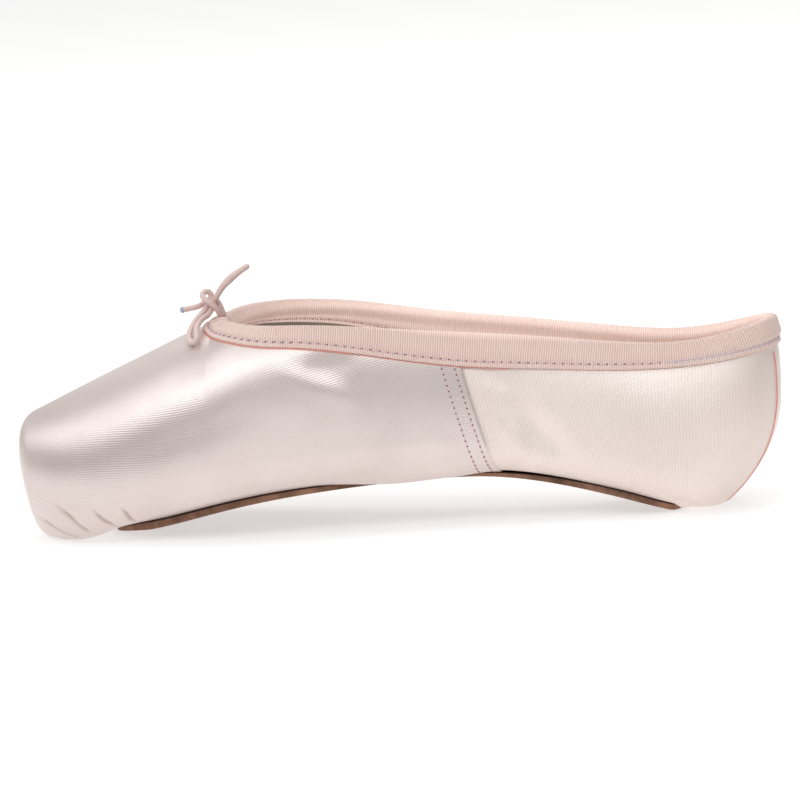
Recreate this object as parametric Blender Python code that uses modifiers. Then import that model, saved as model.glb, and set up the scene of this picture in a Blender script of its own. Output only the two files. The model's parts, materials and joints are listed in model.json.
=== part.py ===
"""Pointe shoe: a satin upper with a stiffened box, leather outsole, insole, collar binding and drawstring.

The shoe lies along X with its toe at -X and stands on Z = 0. One function gives the outer
surface of the upper, and every other piece takes its place from that surface and a clearance.
"""

import math

import bmesh
import bpy
import numpy as np
from mathutils import Vector
from mathutils.bvhtree import BVHTree
from mathutils.geometry import barycentric_transform

# Driving dimensions in metres
SHOE_LENGTH = 0.240
BALL_WIDTH = 0.076
THROAT_HEIGHT = 0.064
HEEL_HEIGHT = 0.0555
ARCH_RISE = 0.0145
PLATFORM_ROUND = 0.004
THROAT_FRONT = 0.065
THROAT_ROUND = 0.026
HEEL_ROUND = 0.040
HEEL_TUCK = 0.020
HEEL_TUCK_POWER = 2.7
HEEL_BULGE_HEIGHT = 0.042
HEEL_TOP_TUCK = 0.0012
BOX_WALL = 0.003
SEAM_STEP = 0.0005
SEAM_PLACE = 0.148
SEAM_FADE = 0.030
SOLE_FRONT = 0.027
SOLE_BACK = 0.031
SOLE_LENGTH = SHOE_LENGTH - SOLE_FRONT - SOLE_BACK
SOLE_WIDTH = 0.045
SOLE_THICKNESS = 0.0020
SOLE_NOSE_THICKNESS = 0.0009
SOLE_SKIVE = 0.014
LASTING_MARGIN = 0.006
INSOLE_FRONT = 0.015
INSOLE_BACK = 0.022
INSOLE_LENGTH = SHOE_LENGTH - INSOLE_FRONT - INSOLE_BACK
INSOLE_WIDTH = 0.056
INSOLE_THICKNESS = 0.0018
BINDING_DEPTH = 0.0070
BINDING_TAPE = 0.0006
CASING_LIFT = 0.0010
CORD_DIAMETER = 0.0018
KNOT_SIZE = (0.0042, 0.0036, 0.0044)
# Clearances: GAP between smooth faces, FACET_GAP where flat faces cut across a curve
GAP = 0.0003
FACET_GAP = 0.0007

# Sections of the upper from toe to heel. The lengths are shares: along of SHOE_LENGTH, half of
# BALL_WIDTH / 2, keel of ARCH_RISE, crown and widest of THROAT_HEIGHT, wall of BOX_WALL. The
# mouth is the collar's half width as a share of the section's. The two rounds are exponents,
# 2 for an ellipse and more for a squarer corner. Lean slants the section, as a share of height.
SECTION_COLUMNS = ("along", "half", "keel", "crown", "widest", "low_round", "top_round", "lean", "mouth", "wall")
SECTIONS = (
    (0.000, 0.553, -0.05, 0.575, 0.266, 2.7, 2.3, 0.16, 0.72, 1.00),
    (0.035, 0.680, -0.06, 0.630, 0.270, 3.2, 2.2, 0.13, 0.72, 1.00),
    (0.080, 0.792, -0.05, 0.708, 0.285, 3.4, 2.1, 0.06, 0.72, 1.00),
    (0.125, 0.875, 0.16, 0.788, 0.310, 3.3, 2.1, 0.00, 0.72, 1.00),
    (0.190, 0.955, 0.37, 0.893, 0.350, 3.1, 2.2, 0.00, 0.72, 0.95),
    (0.270, 1.000, 0.65, 1.000, 0.390, 3.0, 2.5, 0.00, 0.72, 0.75),
    (0.330, 0.975, 0.82, 1.003, 0.420, 2.9, 2.9, 0.05, 0.73, 0.60),
    (0.420, 0.880, 0.95, 0.988, 0.440, 2.8, 3.0, 0.12, 0.77, 0.50),
    (0.520, 0.730, 1.00, 0.947, 0.450, 2.8, 2.6, 0.22, 0.80, 0.50),
    (0.600, 0.640, 1.00, 0.909, 0.440, 2.8, 2.3, 0.27, 0.79, 0.50),
    (0.700, 0.595, 0.77, 0.863, 0.400, 2.8, 2.2, 0.20, 0.74, 0.50),
    (0.800, 0.615, 0.36, 0.812, 0.350, 2.9, 2.2, 0.08, 0.65, 0.50),
    (0.875, 0.640, 0.08, 0.797, 0.340, 3.2, 2.2, 0.00, 0.59, 0.50),
    (1.000, 0.645, 0.05, 0.865, 0.360, 3.4, 2.2, 0.00, 0.70, 0.50),
)

# Outlines of the sole and the insole: place along as a share of its length, half width as a
# share of its widest half. The round ends are worked out.
SOLE_OUTLINE = (
    (0.00, 0.80),
    (0.126, 0.93),
    (0.231, 1.00),
    (0.40, 0.80),
    (0.577, 0.57),
    (0.735, 0.55),
    (0.89, 0.65),
    (1.00, 0.66),
)
# Thickness along the sole's length: the leather is thinned at the waist so that it bends
SOLE_THICKNESSES = ((0.00, 1.00), (0.36, 1.00), (0.50, 0.66), (0.64, 0.62), (0.80, 1.00), (1.00, 1.00))
SOLE_END_ROUNDS = (0.115, 0.085)
INSOLE_OUTLINE = (
    (0.00, 0.70),
    (0.10, 0.80),
    (0.25, 0.98),
    (0.42, 0.84),
    (0.60, 0.62),
    (0.75, 0.60),
    (0.90, 0.63),
    (1.00, 0.62),
)
INSOLE_END_ROUNDS = (0.13, 0.10)

# The drawstring's free stretches, as points in metres from its exit at the throat: back, to
# the side (the near side is negative) and up.
STEM_ROUTE = (
    (-0.0002, -0.0003, 0.0004),
    (-0.0008, -0.0009, 0.0015),
    (-0.0014, -0.0010, 0.0030),
)
KNOT_PLACE = (-0.0036, -0.0003, 0.0056)
LOOP_ROUTE = (
    (-0.0051, -0.0014, 0.0032),
    (-0.0063, -0.0028, 0.0018),
    (-0.0078, -0.0049, 0.0001),
    (-0.0086, -0.0081, -0.0015),
    (-0.0086, -0.0132, -0.0029),
    (-0.0078, -0.0174, -0.0038),
    (-0.0062, -0.0194, -0.0042),
    (-0.0054, -0.0177, -0.0032),
    (-0.0061, -0.0131, -0.0009),
    (-0.0058, -0.0087, 0.0003),
    (-0.0050, -0.0050, 0.0011),
    (-0.0040, -0.0028, 0.0016),
    (-0.0032, -0.0014, 0.0029),
)
END_UP_ROUTE = (
    (-0.0015, -0.0003, 0.0066),
    (-0.0003, -0.0005, 0.0084),
    (0.0012, -0.0005, 0.0103),
    (0.0033, -0.0003, 0.0122),
    (0.0061, 0.0000, 0.0142),
    (0.0095, 0.0004, 0.0161),
)
END_LEFT_ROUTE = (
    (-0.0057, 0.0010, 0.0050),
    (-0.0078, 0.0009, 0.0038),
    (-0.0101, 0.0003, 0.0034),
    (-0.0130, 0.0000, 0.0030),
)


class Table:
    """Rows of sizes read between their places by a natural cubic spline, so that no row shows."""

    def __init__(self, rows):
        rows = np.array(rows)
        self.places = rows[:, 0]
        self.values = rows[:, 1:]
        gaps = np.diff(self.places)
        slopes = np.diff(self.values, axis=0) / gaps[:, None]
        system = np.eye(len(rows))
        known = np.zeros_like(self.values)
        for i in range(1, len(rows) - 1):
            system[i, i - 1 : i + 2] = (gaps[i - 1], 2 * (gaps[i - 1] + gaps[i]), gaps[i])
            known[i] = 6 * (slopes[i] - slopes[i - 1])
        self.bends = np.linalg.solve(system, known)

    def at(self, place):
        place = min(max(place, self.places[0]), self.places[-1])
        i = min(int(np.searchsorted(self.places, place, side="right")) - 1, len(self.places) - 2)
        gap = self.places[i + 1] - self.places[i]
        after = (place - self.places[i]) / gap
        before = 1 - after
        bend = (before**3 - before) * self.bends[i] + (after**3 - after) * self.bends[i + 1]
        return before * self.values[i] + after * self.values[i + 1] + bend * gap**2 / 6


SECTION_TABLE = Table(SECTIONS)


def section(place):
    """The sizes of the section at a distance from the toe, by the name of the table's column."""
    sizes = dict(zip(SECTION_COLUMNS[1:], SECTION_TABLE.at(place / SHOE_LENGTH)))
    sizes["half"] *= BALL_WIDTH / 2
    sizes["keel"] *= ARCH_RISE
    sizes["crown"] *= THROAT_HEIGHT
    sizes["widest"] *= THROAT_HEIGHT
    sizes["wall"] *= BOX_WALL
    heel_share = max((place - SHOE_LENGTH + HEEL_ROUND) / HEEL_ROUND, 0)
    end = dict(zip(SECTION_COLUMNS, SECTIONS[-1]))
    sizes["crown"] += (HEEL_HEIGHT - end["crown"] * THROAT_HEIGHT) * heel_share**2
    return sizes


def mouth_half(place, sizes):
    """Half width of the collar: nothing before the throat, then a round U, then along the sides."""
    opened = np.clip((place - THROAT_FRONT) / THROAT_ROUND, 0, 1)
    return sizes["mouth"] * math.sqrt(1 - (1 - opened) ** 2)


def lap_recess(place):
    """How far the quarter dips under the vamp's edge behind the side seam, before it comes out again."""
    if place <= SEAM_PLACE:
        return 0.0
    behind = min((place - SEAM_PLACE) / SEAM_FADE, 1)
    return SEAM_STEP * (1 - behind * behind * (3 - 2 * behind))


def ring(station, floor_half=0.0, points=17, recess=0.0):
    """Points of half a section, from floor_half on the underside up to the crown or the collar.

    A station is a place along the shoe, a size and a heel turn. A size below 1 shrinks the
    section to the platform's centre at the toe, or closes the heel's plan, and the turn leans
    the section into the heel's back profile.
    """
    place, size, turn = station
    at = section(place)
    half = at["half"] - recess
    at["keel"] += recess
    at["crown"] -= recess
    top_share = mouth_half(place, at)
    # The collar cuts the section short, so the whole section is taller than the collar
    rise = (at["crown"] - at["widest"]) / (1 - top_share ** at["top_round"]) ** (1 / at["top_round"])
    top_angle = math.acos(top_share ** (at["top_round"] / 2))
    floor_share = min(floor_half / max(half * size, 1e-9), 0.98) if size > 0 else 0.0
    floor_angle = math.acos(floor_share ** (at["low_round"] / 2))
    low = np.linspace(floor_angle, 0, 60)
    high = np.linspace(0, top_angle, 60)[1:]
    y = np.concatenate([np.cos(low) ** (2 / at["low_round"]), np.cos(high) ** (2 / at["top_round"])])
    drop = (at["widest"] - at["keel"]) * np.sin(low) ** (2 / at["low_round"])
    climb = rise * np.sin(high) ** (2 / at["top_round"])
    z = at["widest"] + np.concatenate([-drop, climb])
    y = y * half * size
    if place <= PLATFORM_ROUND:
        z = at["widest"] + (z - at["widest"]) * size
    x = place + at["lean"] * (THROAT_HEIGHT / 2 - z)
    x = x - heel_tuck(z) * turn**2
    length = np.concatenate([[0], np.cumsum(np.hypot(np.hypot(np.diff(y), np.diff(z)), np.diff(x)))])
    even = np.linspace(0, length[-1], points)
    curve = np.stack([np.interp(even, length, axis) for axis in (x, y, z)], axis=1)
    curve[:, 0] -= SHOE_LENGTH / 2
    curve[:, 2] = np.maximum(curve[:, 2], 0)
    return curve


def heel_tuck(z):
    """How far the heel's back profile lies in front of its fullest point."""
    below = np.clip(1 - z / HEEL_BULGE_HEIGHT, 0, 1)
    above = np.clip((z - HEEL_BULGE_HEIGHT) / (HEEL_HEIGHT - HEEL_BULGE_HEIGHT), 0, 1.2)
    return HEEL_TUCK * below**HEEL_TUCK_POWER + HEEL_TOP_TUCK * above**2


def stations(box_steps=9, throat_steps=8, side_steps=12, heel_steps=7):
    """Stations from the platform's centre to the back seam, each a place, a size and a heel turn."""
    edge_share = PLATFORM_ROUND / (SECTIONS[0][1] * BALL_WIDTH / 2)
    found = [(0.0, share * (1 - edge_share), 0.0) for share in (0.0, 0.55)]
    for angle in np.radians((0, 30, 60)):
        found.append((PLATFORM_ROUND * (1 - math.cos(angle)), 1 - edge_share * (1 - math.sin(angle)), 0.0))
    found += [(place, 1.0, 0.0) for place in np.linspace(PLATFORM_ROUND, THROAT_FRONT, box_steps + 1)[:-1]]
    for angle in np.linspace(0, math.pi / 2, throat_steps + 1)[:-1]:
        found.append((THROAT_FRONT + THROAT_ROUND * (1 - math.cos(angle)), 1.0, 0.0))
    sides = np.linspace(THROAT_FRONT + THROAT_ROUND, SHOE_LENGTH - HEEL_ROUND, side_steps + 1)[:-1]
    sides[np.argmin(abs(sides - SEAM_PLACE))] = SEAM_PLACE
    found += [(place, 1.0, 0.0) for place in sides]
    for angle in np.linspace(0, math.pi / 2, heel_steps + 1):
        turn = math.sin(angle)
        found.append((SHOE_LENGTH - HEEL_ROUND * (1 - turn), max(math.cos(angle), 0.0), turn))
    return found


def outline_half(outline, ends, width, share):
    """Half width of a sole at a share of its length, closed by a round at each end."""
    front, back = ends
    round_front = math.sqrt(max(0.0, 1 - (1 - min(share / front, 1)) ** 2))
    round_back = math.sqrt(max(0.0, 1 - (1 - min((1 - share) / back, 1)) ** 2))
    return width / 2 * float(Table(outline).at(share)[0]) * round_front * round_back


def floor_opening(station):
    """Half width of the hole in the upper's underside, a lasting margin inside the sole's edge."""
    place = station[0]
    inset = LASTING_MARGIN / SOLE_LENGTH
    share = (place - SOLE_FRONT) / SOLE_LENGTH
    if share <= inset or share >= 1 - inset or station[2] > 0.5:
        return 0.0
    half = outline_half(SOLE_OUTLINE, SOLE_END_ROUNDS, SOLE_WIDTH, share)
    return max(half - LASTING_MARGIN, 0.0)


def new_object(name, bm, collection, material=None):
    """Links a mesh made from bm, with welded points and faces turned outwards."""
    bmesh.ops.remove_doubles(bm, verts=bm.verts, dist=1e-6)
    bmesh.ops.dissolve_degenerate(bm, edges=bm.edges, dist=1e-6)
    mesh = bpy.data.meshes.new(name)
    bm.to_mesh(mesh)
    bm.free()
    obj = bpy.data.objects.new(name, mesh)
    collection.objects.link(obj)
    if material:
        mesh.materials.append(material)
    mesh.shade_smooth()
    return obj


def add_grid(bm, rows, flip=False):
    """Quads between rows of points, each row as long as the next."""
    lines = [[bm.verts.new(point) for point in row] for row in rows]
    for first, second in zip(lines, lines[1:]):
        for i in range(len(first) - 1):
            corners = (first[i], second[i], second[i + 1], first[i + 1])
            bm.faces.new(corners[::-1] if flip else corners)
    return lines


def principled(name, colour, roughness):
    material = bpy.data.materials.new(name)
    material.use_nodes = True
    shader = material.node_tree.nodes["Principled BSDF"]
    shader.inputs["Base Color"].default_value = (*colour, 1)
    shader.inputs["Roughness"].default_value = roughness
    shader.inputs["Metallic"].default_value = 0.0
    return material


def add_mirror(obj):
    mirror = obj.modifiers.new("mirror", "MIRROR")
    mirror.use_axis = (False, True, False)
    mirror.merge_threshold = 0.00001
    mirror.use_clip = True


def add_solidify(obj, thickness, offset, weights=None, thinnest=0.0):
    """Thickness for an open surface; weights scale it point by point, down to the thinnest share."""
    solidify = obj.modifiers.new("thickness", "SOLIDIFY")
    solidify.thickness = thickness
    solidify.offset = offset
    solidify.use_even_offset = True
    if weights is not None:
        group = obj.vertex_groups.new(name="thickness")
        for vertex in obj.data.vertices:
            group.add([vertex.index], weights(vertex.co), "REPLACE")
        solidify.vertex_group = "thickness"
        solidify.thickness_vertex_group = thinnest


def place_of(point):
    """Distance from the toe of a point in the shoe's frame."""
    return point[0] + SHOE_LENGTH / 2


def wall_at(point):
    """Depth of the upper's inner face under the form at a place, with the lap's dip on both sides."""
    place = place_of(point)
    mirrored = SEAM_PLACE + abs(place - SEAM_PLACE)
    dip = lap_recess(max(mirrored, SEAM_PLACE + SEAM_STEP))
    return float(section(place)["wall"]) + dip


class Form:
    """The whole outer surface, closed underneath, for finding places and normals on it."""

    def __init__(self):
        fine = stations(box_steps=30, throat_steps=18, side_steps=44, heel_steps=16)
        bm = bmesh.new()
        add_grid(bm, [ring(station, points=70) for station in fine])
        bmesh.ops.mirror(bm, geom=bm.verts[:] + bm.edges[:] + bm.faces[:], axis="Y", merge_dist=1e-6)
        bmesh.ops.remove_doubles(bm, verts=bm.verts, dist=1e-6)
        bmesh.ops.dissolve_degenerate(bm, edges=bm.edges, dist=1e-6)
        bmesh.ops.triangulate(bm, faces=bm.faces)
        bmesh.ops.recalc_face_normals(bm, faces=bm.faces)
        bm.normal_update()
        bm.verts.ensure_lookup_table()
        self.points = [vertex.co.copy() for vertex in bm.verts]
        self.normals = [vertex.normal.copy() for vertex in bm.verts]
        self.faces = [[vertex.index for vertex in face.verts] for face in bm.faces]
        self.tree = BVHTree.FromPolygons(self.points, self.faces)
        bm.free()

    def smooth_normal(self, location, face):
        a, b, c = self.faces[face]
        corners = (self.points[a], self.points[b], self.points[c])
        return barycentric_transform(
            location, *corners, self.normals[a], self.normals[b], self.normals[c]
        ).normalized()

    def nearest(self, point):
        location, _, face, _ = self.tree.find_nearest(Vector(point))
        return location, self.smooth_normal(location, face)

    def underside(self, x, y):
        """The lowest point of the surface over a place on the floor, and the normal there."""
        location, _, face, _ = self.tree.ray_cast(Vector((x, y, -THROAT_HEIGHT)), Vector((0, 0, 1)))
        return location, self.smooth_normal(location, face)


def build_upper(collection):
    satin = principled("satin", (0.79, 0.70, 0.68), 0.35)
    rows = []
    for station in stations():
        floor_half = floor_opening(station)
        rows.append(ring(station, floor_half, recess=lap_recess(station[0])))
        if station[0] == SEAM_PLACE:
            behind = (SEAM_PLACE + SEAM_STEP, *station[1:])
            rows.append(ring(behind, floor_half, recess=lap_recess(behind[0])))
    bm = bmesh.new()
    add_grid(bm, rows)
    bmesh.ops.recalc_face_normals(bm, faces=bm.faces)
    obj = new_object("upper", bm, collection, satin)
    add_mirror(obj)
    thinnest = min(row[-1] for row in SECTIONS)

    def wall_weight(point):
        share = section(place_of(point))["wall"] / BOX_WALL
        return float((share - thinnest) / (1 - thinnest))

    add_solidify(obj, BOX_WALL, -1, wall_weight, thinnest)
    return obj


def build_sole(form, collection):
    leather = principled("sole_leather", (0.26, 0.17, 0.12), 0.6)
    rows = []
    for share in (1 - np.cos(np.linspace(0, math.pi, 27))) / 2:
        x = SOLE_FRONT + share * SOLE_LENGTH - SHOE_LENGTH / 2
        half = outline_half(SOLE_OUTLINE, SOLE_END_ROUNDS, SOLE_WIDTH, float(share))
        thickness = sole_thickness(x)
        row = []
        for across in np.linspace(0, 1, 5):
            location, normal = form.underside(x, half * across)
            point = location + normal * (GAP + thickness)
            row.append((point.x, half * across, max(point.z, 0.0)))
        rows.append(row)
    bm = bmesh.new()
    add_grid(bm, rows)
    turn_faces(bm, Vector((0, 0, -1)))
    obj = new_object("outsole", bm, collection, leather)
    add_mirror(obj)
    add_solidify(obj, SOLE_THICKNESS, -1, lambda point: sole_depth(form, point) / SOLE_THICKNESS)
    return obj


def sole_depth(form, point):
    """The sole's thickness at a point of its outer face, less where that face is worn flat."""
    location, _ = form.nearest(point)
    return min((point - location).length - GAP, SOLE_THICKNESS)


def sole_thickness(x):
    """The sole's thickness, skived thin at its front edge under the pleats and thinner at the waist."""
    after = x + SHOE_LENGTH / 2 - SOLE_FRONT
    skived = min(max(after / SOLE_SKIVE, 0), 1)
    full = SOLE_NOSE_THICKNESS + (SOLE_THICKNESS - SOLE_NOSE_THICKNESS) * skived
    return full * min(float(Table(SOLE_THICKNESSES).at(after / SOLE_LENGTH)[0]), 1.0)


def turn_faces(bm, towards):
    """Turns every face of an open sheet so that it faces the given way."""
    bm.normal_update()
    if sum((face.normal.dot(towards) * face.calc_area() for face in bm.faces), 0.0) < 0:
        bmesh.ops.reverse_faces(bm, faces=bm.faces)


def build_insole(form, collection):
    canvas = principled("insole_canvas", (0.62, 0.60, 0.54), 0.85)
    rows = []
    for share in (1 - np.cos(np.linspace(0, math.pi, 23))) / 2:
        x = INSOLE_FRONT + share * INSOLE_LENGTH - SHOE_LENGTH / 2
        half = outline_half(INSOLE_OUTLINE, INSOLE_END_ROUNDS, INSOLE_WIDTH, float(share))
        row = []
        for across in np.linspace(0, 1, 5):
            location, normal = form.underside(x, half * across)
            point = location - normal * (wall_at(location) + FACET_GAP)
            row.append((point.x, max(point.y, 0.0), point.z))
        rows.append(row)
    bm = bmesh.new()
    add_grid(bm, rows)
    turn_faces(bm, Vector((0, 0, -1)))
    obj = new_object("insole", bm, collection, canvas)
    add_mirror(obj)
    add_solidify(obj, INSOLE_THICKNESS, -1)
    return obj


def collar_line():
    """The upper's top edge on one side, from the throat's centre to the back seam."""
    return [Vector(ring(station)[-1]) for station in stations() if station[0] >= THROAT_FRONT]


def collar_frames(form):
    """Each place of the collar's edge with two directions: out of the wall, and down along it."""
    edge = collar_line()
    ahead = edge[1:] + [Vector((edge[-2].x, -edge[-2].y, edge[-2].z))]
    behind = [Vector((edge[1].x, -edge[1].y, edge[1].z))] + edge[:-1]
    frames = []
    for point, before, after in zip(edge, behind, ahead):
        _, out = form.nearest(point)
        down = (after - before).cross(out).normalized()
        if down.z > 0:
            down = -down
        frames.append((point, out, down))
    return frames


def fold_point(point, out, down, angle):
    """A point of the tape's fold over the edge, by its angle from the outer flap."""
    wall = wall_at(point)
    radius = wall / 2 + FACET_GAP + BINDING_TAPE
    middle = point - out * (wall / 2) - down * CASING_LIFT
    return middle + (out * math.cos(angle) - down * math.sin(angle)) * radius


def casing_profile(form, point, out, down):
    """Outer skin of the folded tape at one place of the collar, from flap to flap."""
    outer = []
    inner = []
    for depth in BINDING_DEPTH * np.array((1.0, 0.5, 0.12)):
        location, normal = form.nearest(point + down * depth)
        outer.append(location + normal * (FACET_GAP + BINDING_TAPE))
        inner.append(location - normal * (wall_at(location) + FACET_GAP + BINDING_TAPE))
    fold = [fold_point(point, out, down, angle) for angle in np.radians((15, 65, 115, 165))]
    profile = outer + fold + inner[::-1]
    if abs(point.y) < 1e-7:
        for corner in profile:
            corner.y = 0.0
    return profile


def build_binding(form, collection):
    grosgrain = principled("grosgrain", (0.79, 0.60, 0.52), 0.7)
    bm = bmesh.new()
    add_grid(bm, [casing_profile(form, *frame) for frame in collar_frames(form)])
    turn_casing(bm, form)
    obj = new_object("collar_binding", bm, collection, grosgrain)
    add_mirror(obj)
    add_solidify(obj, BINDING_TAPE, -1)
    return obj


def turn_casing(bm, form):
    """Turns the casing's faces outwards, judged by its outer flap."""
    bm.normal_update()
    bm.faces.ensure_lookup_table()
    _, normal = form.nearest(bm.faces[0].calc_center_median())
    if bm.faces[0].normal.dot(normal) < 0:
        bmesh.ops.reverse_faces(bm, faces=bm.faces)


def throat_exit(form):
    """The place on the tape's fold at the throat's centre where the drawstring comes out."""
    return fold_point(*collar_frames(form)[0], math.radians(12))


def smooth_route(points, spacing):
    """Points at an even spacing on a smooth curve through the route's own points."""
    points = np.array(points)
    padded = np.vstack([2 * points[0] - points[1], points, 2 * points[-1] - points[-2]])
    curve = []
    for i in range(1, len(padded) - 2):
        a, b, c, d = padded[i - 1 : i + 3]
        for t in np.linspace(0, 1, 16, endpoint=False):
            bend = (2 * a - 5 * b + 4 * c - d) * t**2 + (3 * b - a - 3 * c + d) * t**3
            curve.append(0.5 * (2 * b + (c - a) * t + bend))
    curve = np.array(curve + [padded[-2]])
    length = np.concatenate([[0], np.cumsum(np.linalg.norm(np.diff(curve, axis=0), axis=1))])
    even = np.linspace(0, length[-1], max(3, round(length[-1] / spacing) + 1))
    return np.stack([np.interp(even, length, axis) for axis in curve.T], axis=1)


def build_cord(name, route, start, collection, material):
    curve = bpy.data.curves.new(name, "CURVE")
    curve.dimensions = "3D"
    curve.bevel_depth = CORD_DIAMETER / 2
    curve.bevel_resolution = 2
    curve.use_fill_caps = True
    points = smooth_route(route, CORD_DIAMETER * 1.2)
    spline = curve.splines.new("POLY")
    spline.points.add(len(points) - 1)
    for corner, point in zip(spline.points, points):
        corner.co = (*point, 1)
    curve.materials.append(material)
    obj = bpy.data.objects.new(name, curve)
    obj.location = start
    collection.objects.link(obj)
    return obj


def build_knot(start, collection, material):
    bm = bmesh.new()
    bmesh.ops.create_uvsphere(bm, u_segments=12, v_segments=8, radius=0.5)
    bmesh.ops.scale(bm, vec=KNOT_SIZE, verts=bm.verts)
    obj = new_object("drawstring_knot", bm, collection, material)
    obj.location = start + Vector(KNOT_PLACE)
    return obj


def main():
    for obj in list(bpy.data.objects):
        bpy.data.objects.remove(obj)
    shoe = bpy.data.collections.new("pointe_shoe")
    bpy.context.scene.collection.children.link(shoe)
    form = Form()
    build_upper(shoe)
    build_sole(form, shoe)
    build_insole(form, shoe)
    build_binding(form, shoe)
    cord = principled("drawstring_elastic", (0.82, 0.66, 0.60), 0.6)
    start = throat_exit(form)
    build_knot(start, shoe, cord)
    build_cord("drawstring_stem", STEM_ROUTE, start, shoe, cord)
    build_cord("drawstring_loop", LOOP_ROUTE, start, shoe, cord)
    build_cord("drawstring_end_up", END_UP_ROUTE, start, shoe, cord)
    build_cord("drawstring_end_left", END_LEFT_ROUTE, start, shoe, cord)


main()
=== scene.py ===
# %% [markdown]
# # A satin pointe shoe
#
# A pointe shoe is a slipper of satin over a hard box of canvas and paste, closed below by a
# narrow leather sole and trimmed at the collar with a ribbed tape that holds a drawstring.
# Each piece could be modelled by eye, one beside the other. Here one function gives the outer
# surface of the shoe instead, and every layer is a sheet laid over it at its own height, as
# the maker pulls each layer over the last. So no layer can drift away from its neighbour.

import json
import math

import bmesh
import bpy
import numpy as np
from mathutils import Matrix, Vector
from mathutils.bvhtree import BVHTree
from mathutils.geometry import barycentric_transform

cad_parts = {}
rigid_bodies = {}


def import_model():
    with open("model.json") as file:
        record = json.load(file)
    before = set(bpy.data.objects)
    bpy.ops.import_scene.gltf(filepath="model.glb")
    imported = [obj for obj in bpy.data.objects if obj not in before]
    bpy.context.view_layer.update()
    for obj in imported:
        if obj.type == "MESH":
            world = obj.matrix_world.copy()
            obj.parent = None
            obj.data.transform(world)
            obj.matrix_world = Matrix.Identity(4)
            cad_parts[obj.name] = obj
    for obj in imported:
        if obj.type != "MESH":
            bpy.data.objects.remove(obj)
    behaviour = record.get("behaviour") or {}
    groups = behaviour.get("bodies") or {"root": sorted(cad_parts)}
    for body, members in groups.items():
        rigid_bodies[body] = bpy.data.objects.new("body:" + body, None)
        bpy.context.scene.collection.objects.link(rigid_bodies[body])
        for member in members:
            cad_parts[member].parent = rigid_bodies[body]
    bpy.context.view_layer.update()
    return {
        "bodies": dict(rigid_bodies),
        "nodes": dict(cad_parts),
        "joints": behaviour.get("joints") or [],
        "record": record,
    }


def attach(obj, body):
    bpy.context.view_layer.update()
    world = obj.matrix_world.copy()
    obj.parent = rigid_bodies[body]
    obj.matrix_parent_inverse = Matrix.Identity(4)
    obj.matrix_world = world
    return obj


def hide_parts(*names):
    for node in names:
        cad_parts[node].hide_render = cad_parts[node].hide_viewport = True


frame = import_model()
print("nodes:", ", ".join(sorted(frame["nodes"])))

# %% [markdown]
# The camera comes first, because it decides which details are worth making. The shoe was
# photographed from its side with a long lens, a little from above and behind, and the picture
# was turned so that the shoe lies almost level. A camera is built from three directions: to
# its right, up, and back from what it looks at. Turning the first two gives the roll.

# %% The camera at the photograph's angle
PHOTO_WIDTH = 800
PHOTO_AZIMUTH = 8.71
PHOTO_ELEVATION = 10.44
PHOTO_ROLL = -4.09
CAMERA_DISTANCE = 1.5
PIXELS_PER_METRE = 3191
SHOE_MIDDLE = Vector((0, 0, 0.030))
MIDDLE_BELOW_CENTRE = 21.3
SENSOR_WIDTH = 36


def place_camera():
    azimuth, elevation, roll = map(math.radians, (PHOTO_AZIMUTH, PHOTO_ELEVATION, PHOTO_ROLL))
    back = Vector((math.sin(azimuth) * math.cos(elevation), -math.cos(azimuth) * math.cos(elevation), math.sin(elevation)))
    level = Vector((math.cos(azimuth), math.sin(azimuth), 0))
    upright = back.cross(level)
    up = upright * math.cos(roll) - level * math.sin(roll)
    place = SHOE_MIDDLE + back * CAMERA_DISTANCE
    aim = SHOE_MIDDLE + up * (MIDDLE_BELOW_CENTRE / PIXELS_PER_METRE)
    back = (place - aim).normalized()
    right = up.cross(back).normalized()
    up = back.cross(right)
    data = bpy.data.cameras.new("photo_camera")
    data.sensor_width = SENSOR_WIDTH
    data.lens = PIXELS_PER_METRE * CAMERA_DISTANCE / PHOTO_WIDTH * SENSOR_WIDTH
    data.clip_start, data.clip_end = 0.05, 20
    camera = bpy.data.objects.new("photo_camera", data)
    bpy.context.scene.collection.objects.link(camera)
    camera.matrix_world = Matrix((right, up, back)).transposed().to_4x4()
    camera.location = place
    bpy.context.scene.camera = camera
    return camera


camera = place_camera()
print(f"camera at {tuple(round(v, 3) for v in camera.location)}, lens {camera.data.lens:.0f} mm")

# %% [markdown]
# A shoe is measured as a last maker measures it: by its length, the width across the ball,
# and heights at the throat and the heel. The sizes below repeat those of the solid model, in
# metres. The table of sections holds shares of those sizes, so that the shoe stays one shape
# when a size changes.

# %% Sizes in metres, and the table of sections
SHOE_LENGTH = 0.240
BALL_WIDTH = 0.076
THROAT_HEIGHT = 0.064
HEEL_HEIGHT = 0.0555
ARCH_RISE = 0.0145
PLATFORM_ROUND = 0.004
THROAT_FRONT = 0.065
THROAT_ROUND = 0.026
HEEL_ROUND = 0.040
HEEL_TUCK = 0.020
HEEL_TUCK_POWER = 2.7
HEEL_BULGE_HEIGHT = 0.042
HEEL_TOP_TUCK = 0.0012
BOX_WALL = 0.003
SEAM_STEP = 0.0005
SEAM_PLACE = 0.148
SEAM_FADE = 0.030
GAP = 0.0003

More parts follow.
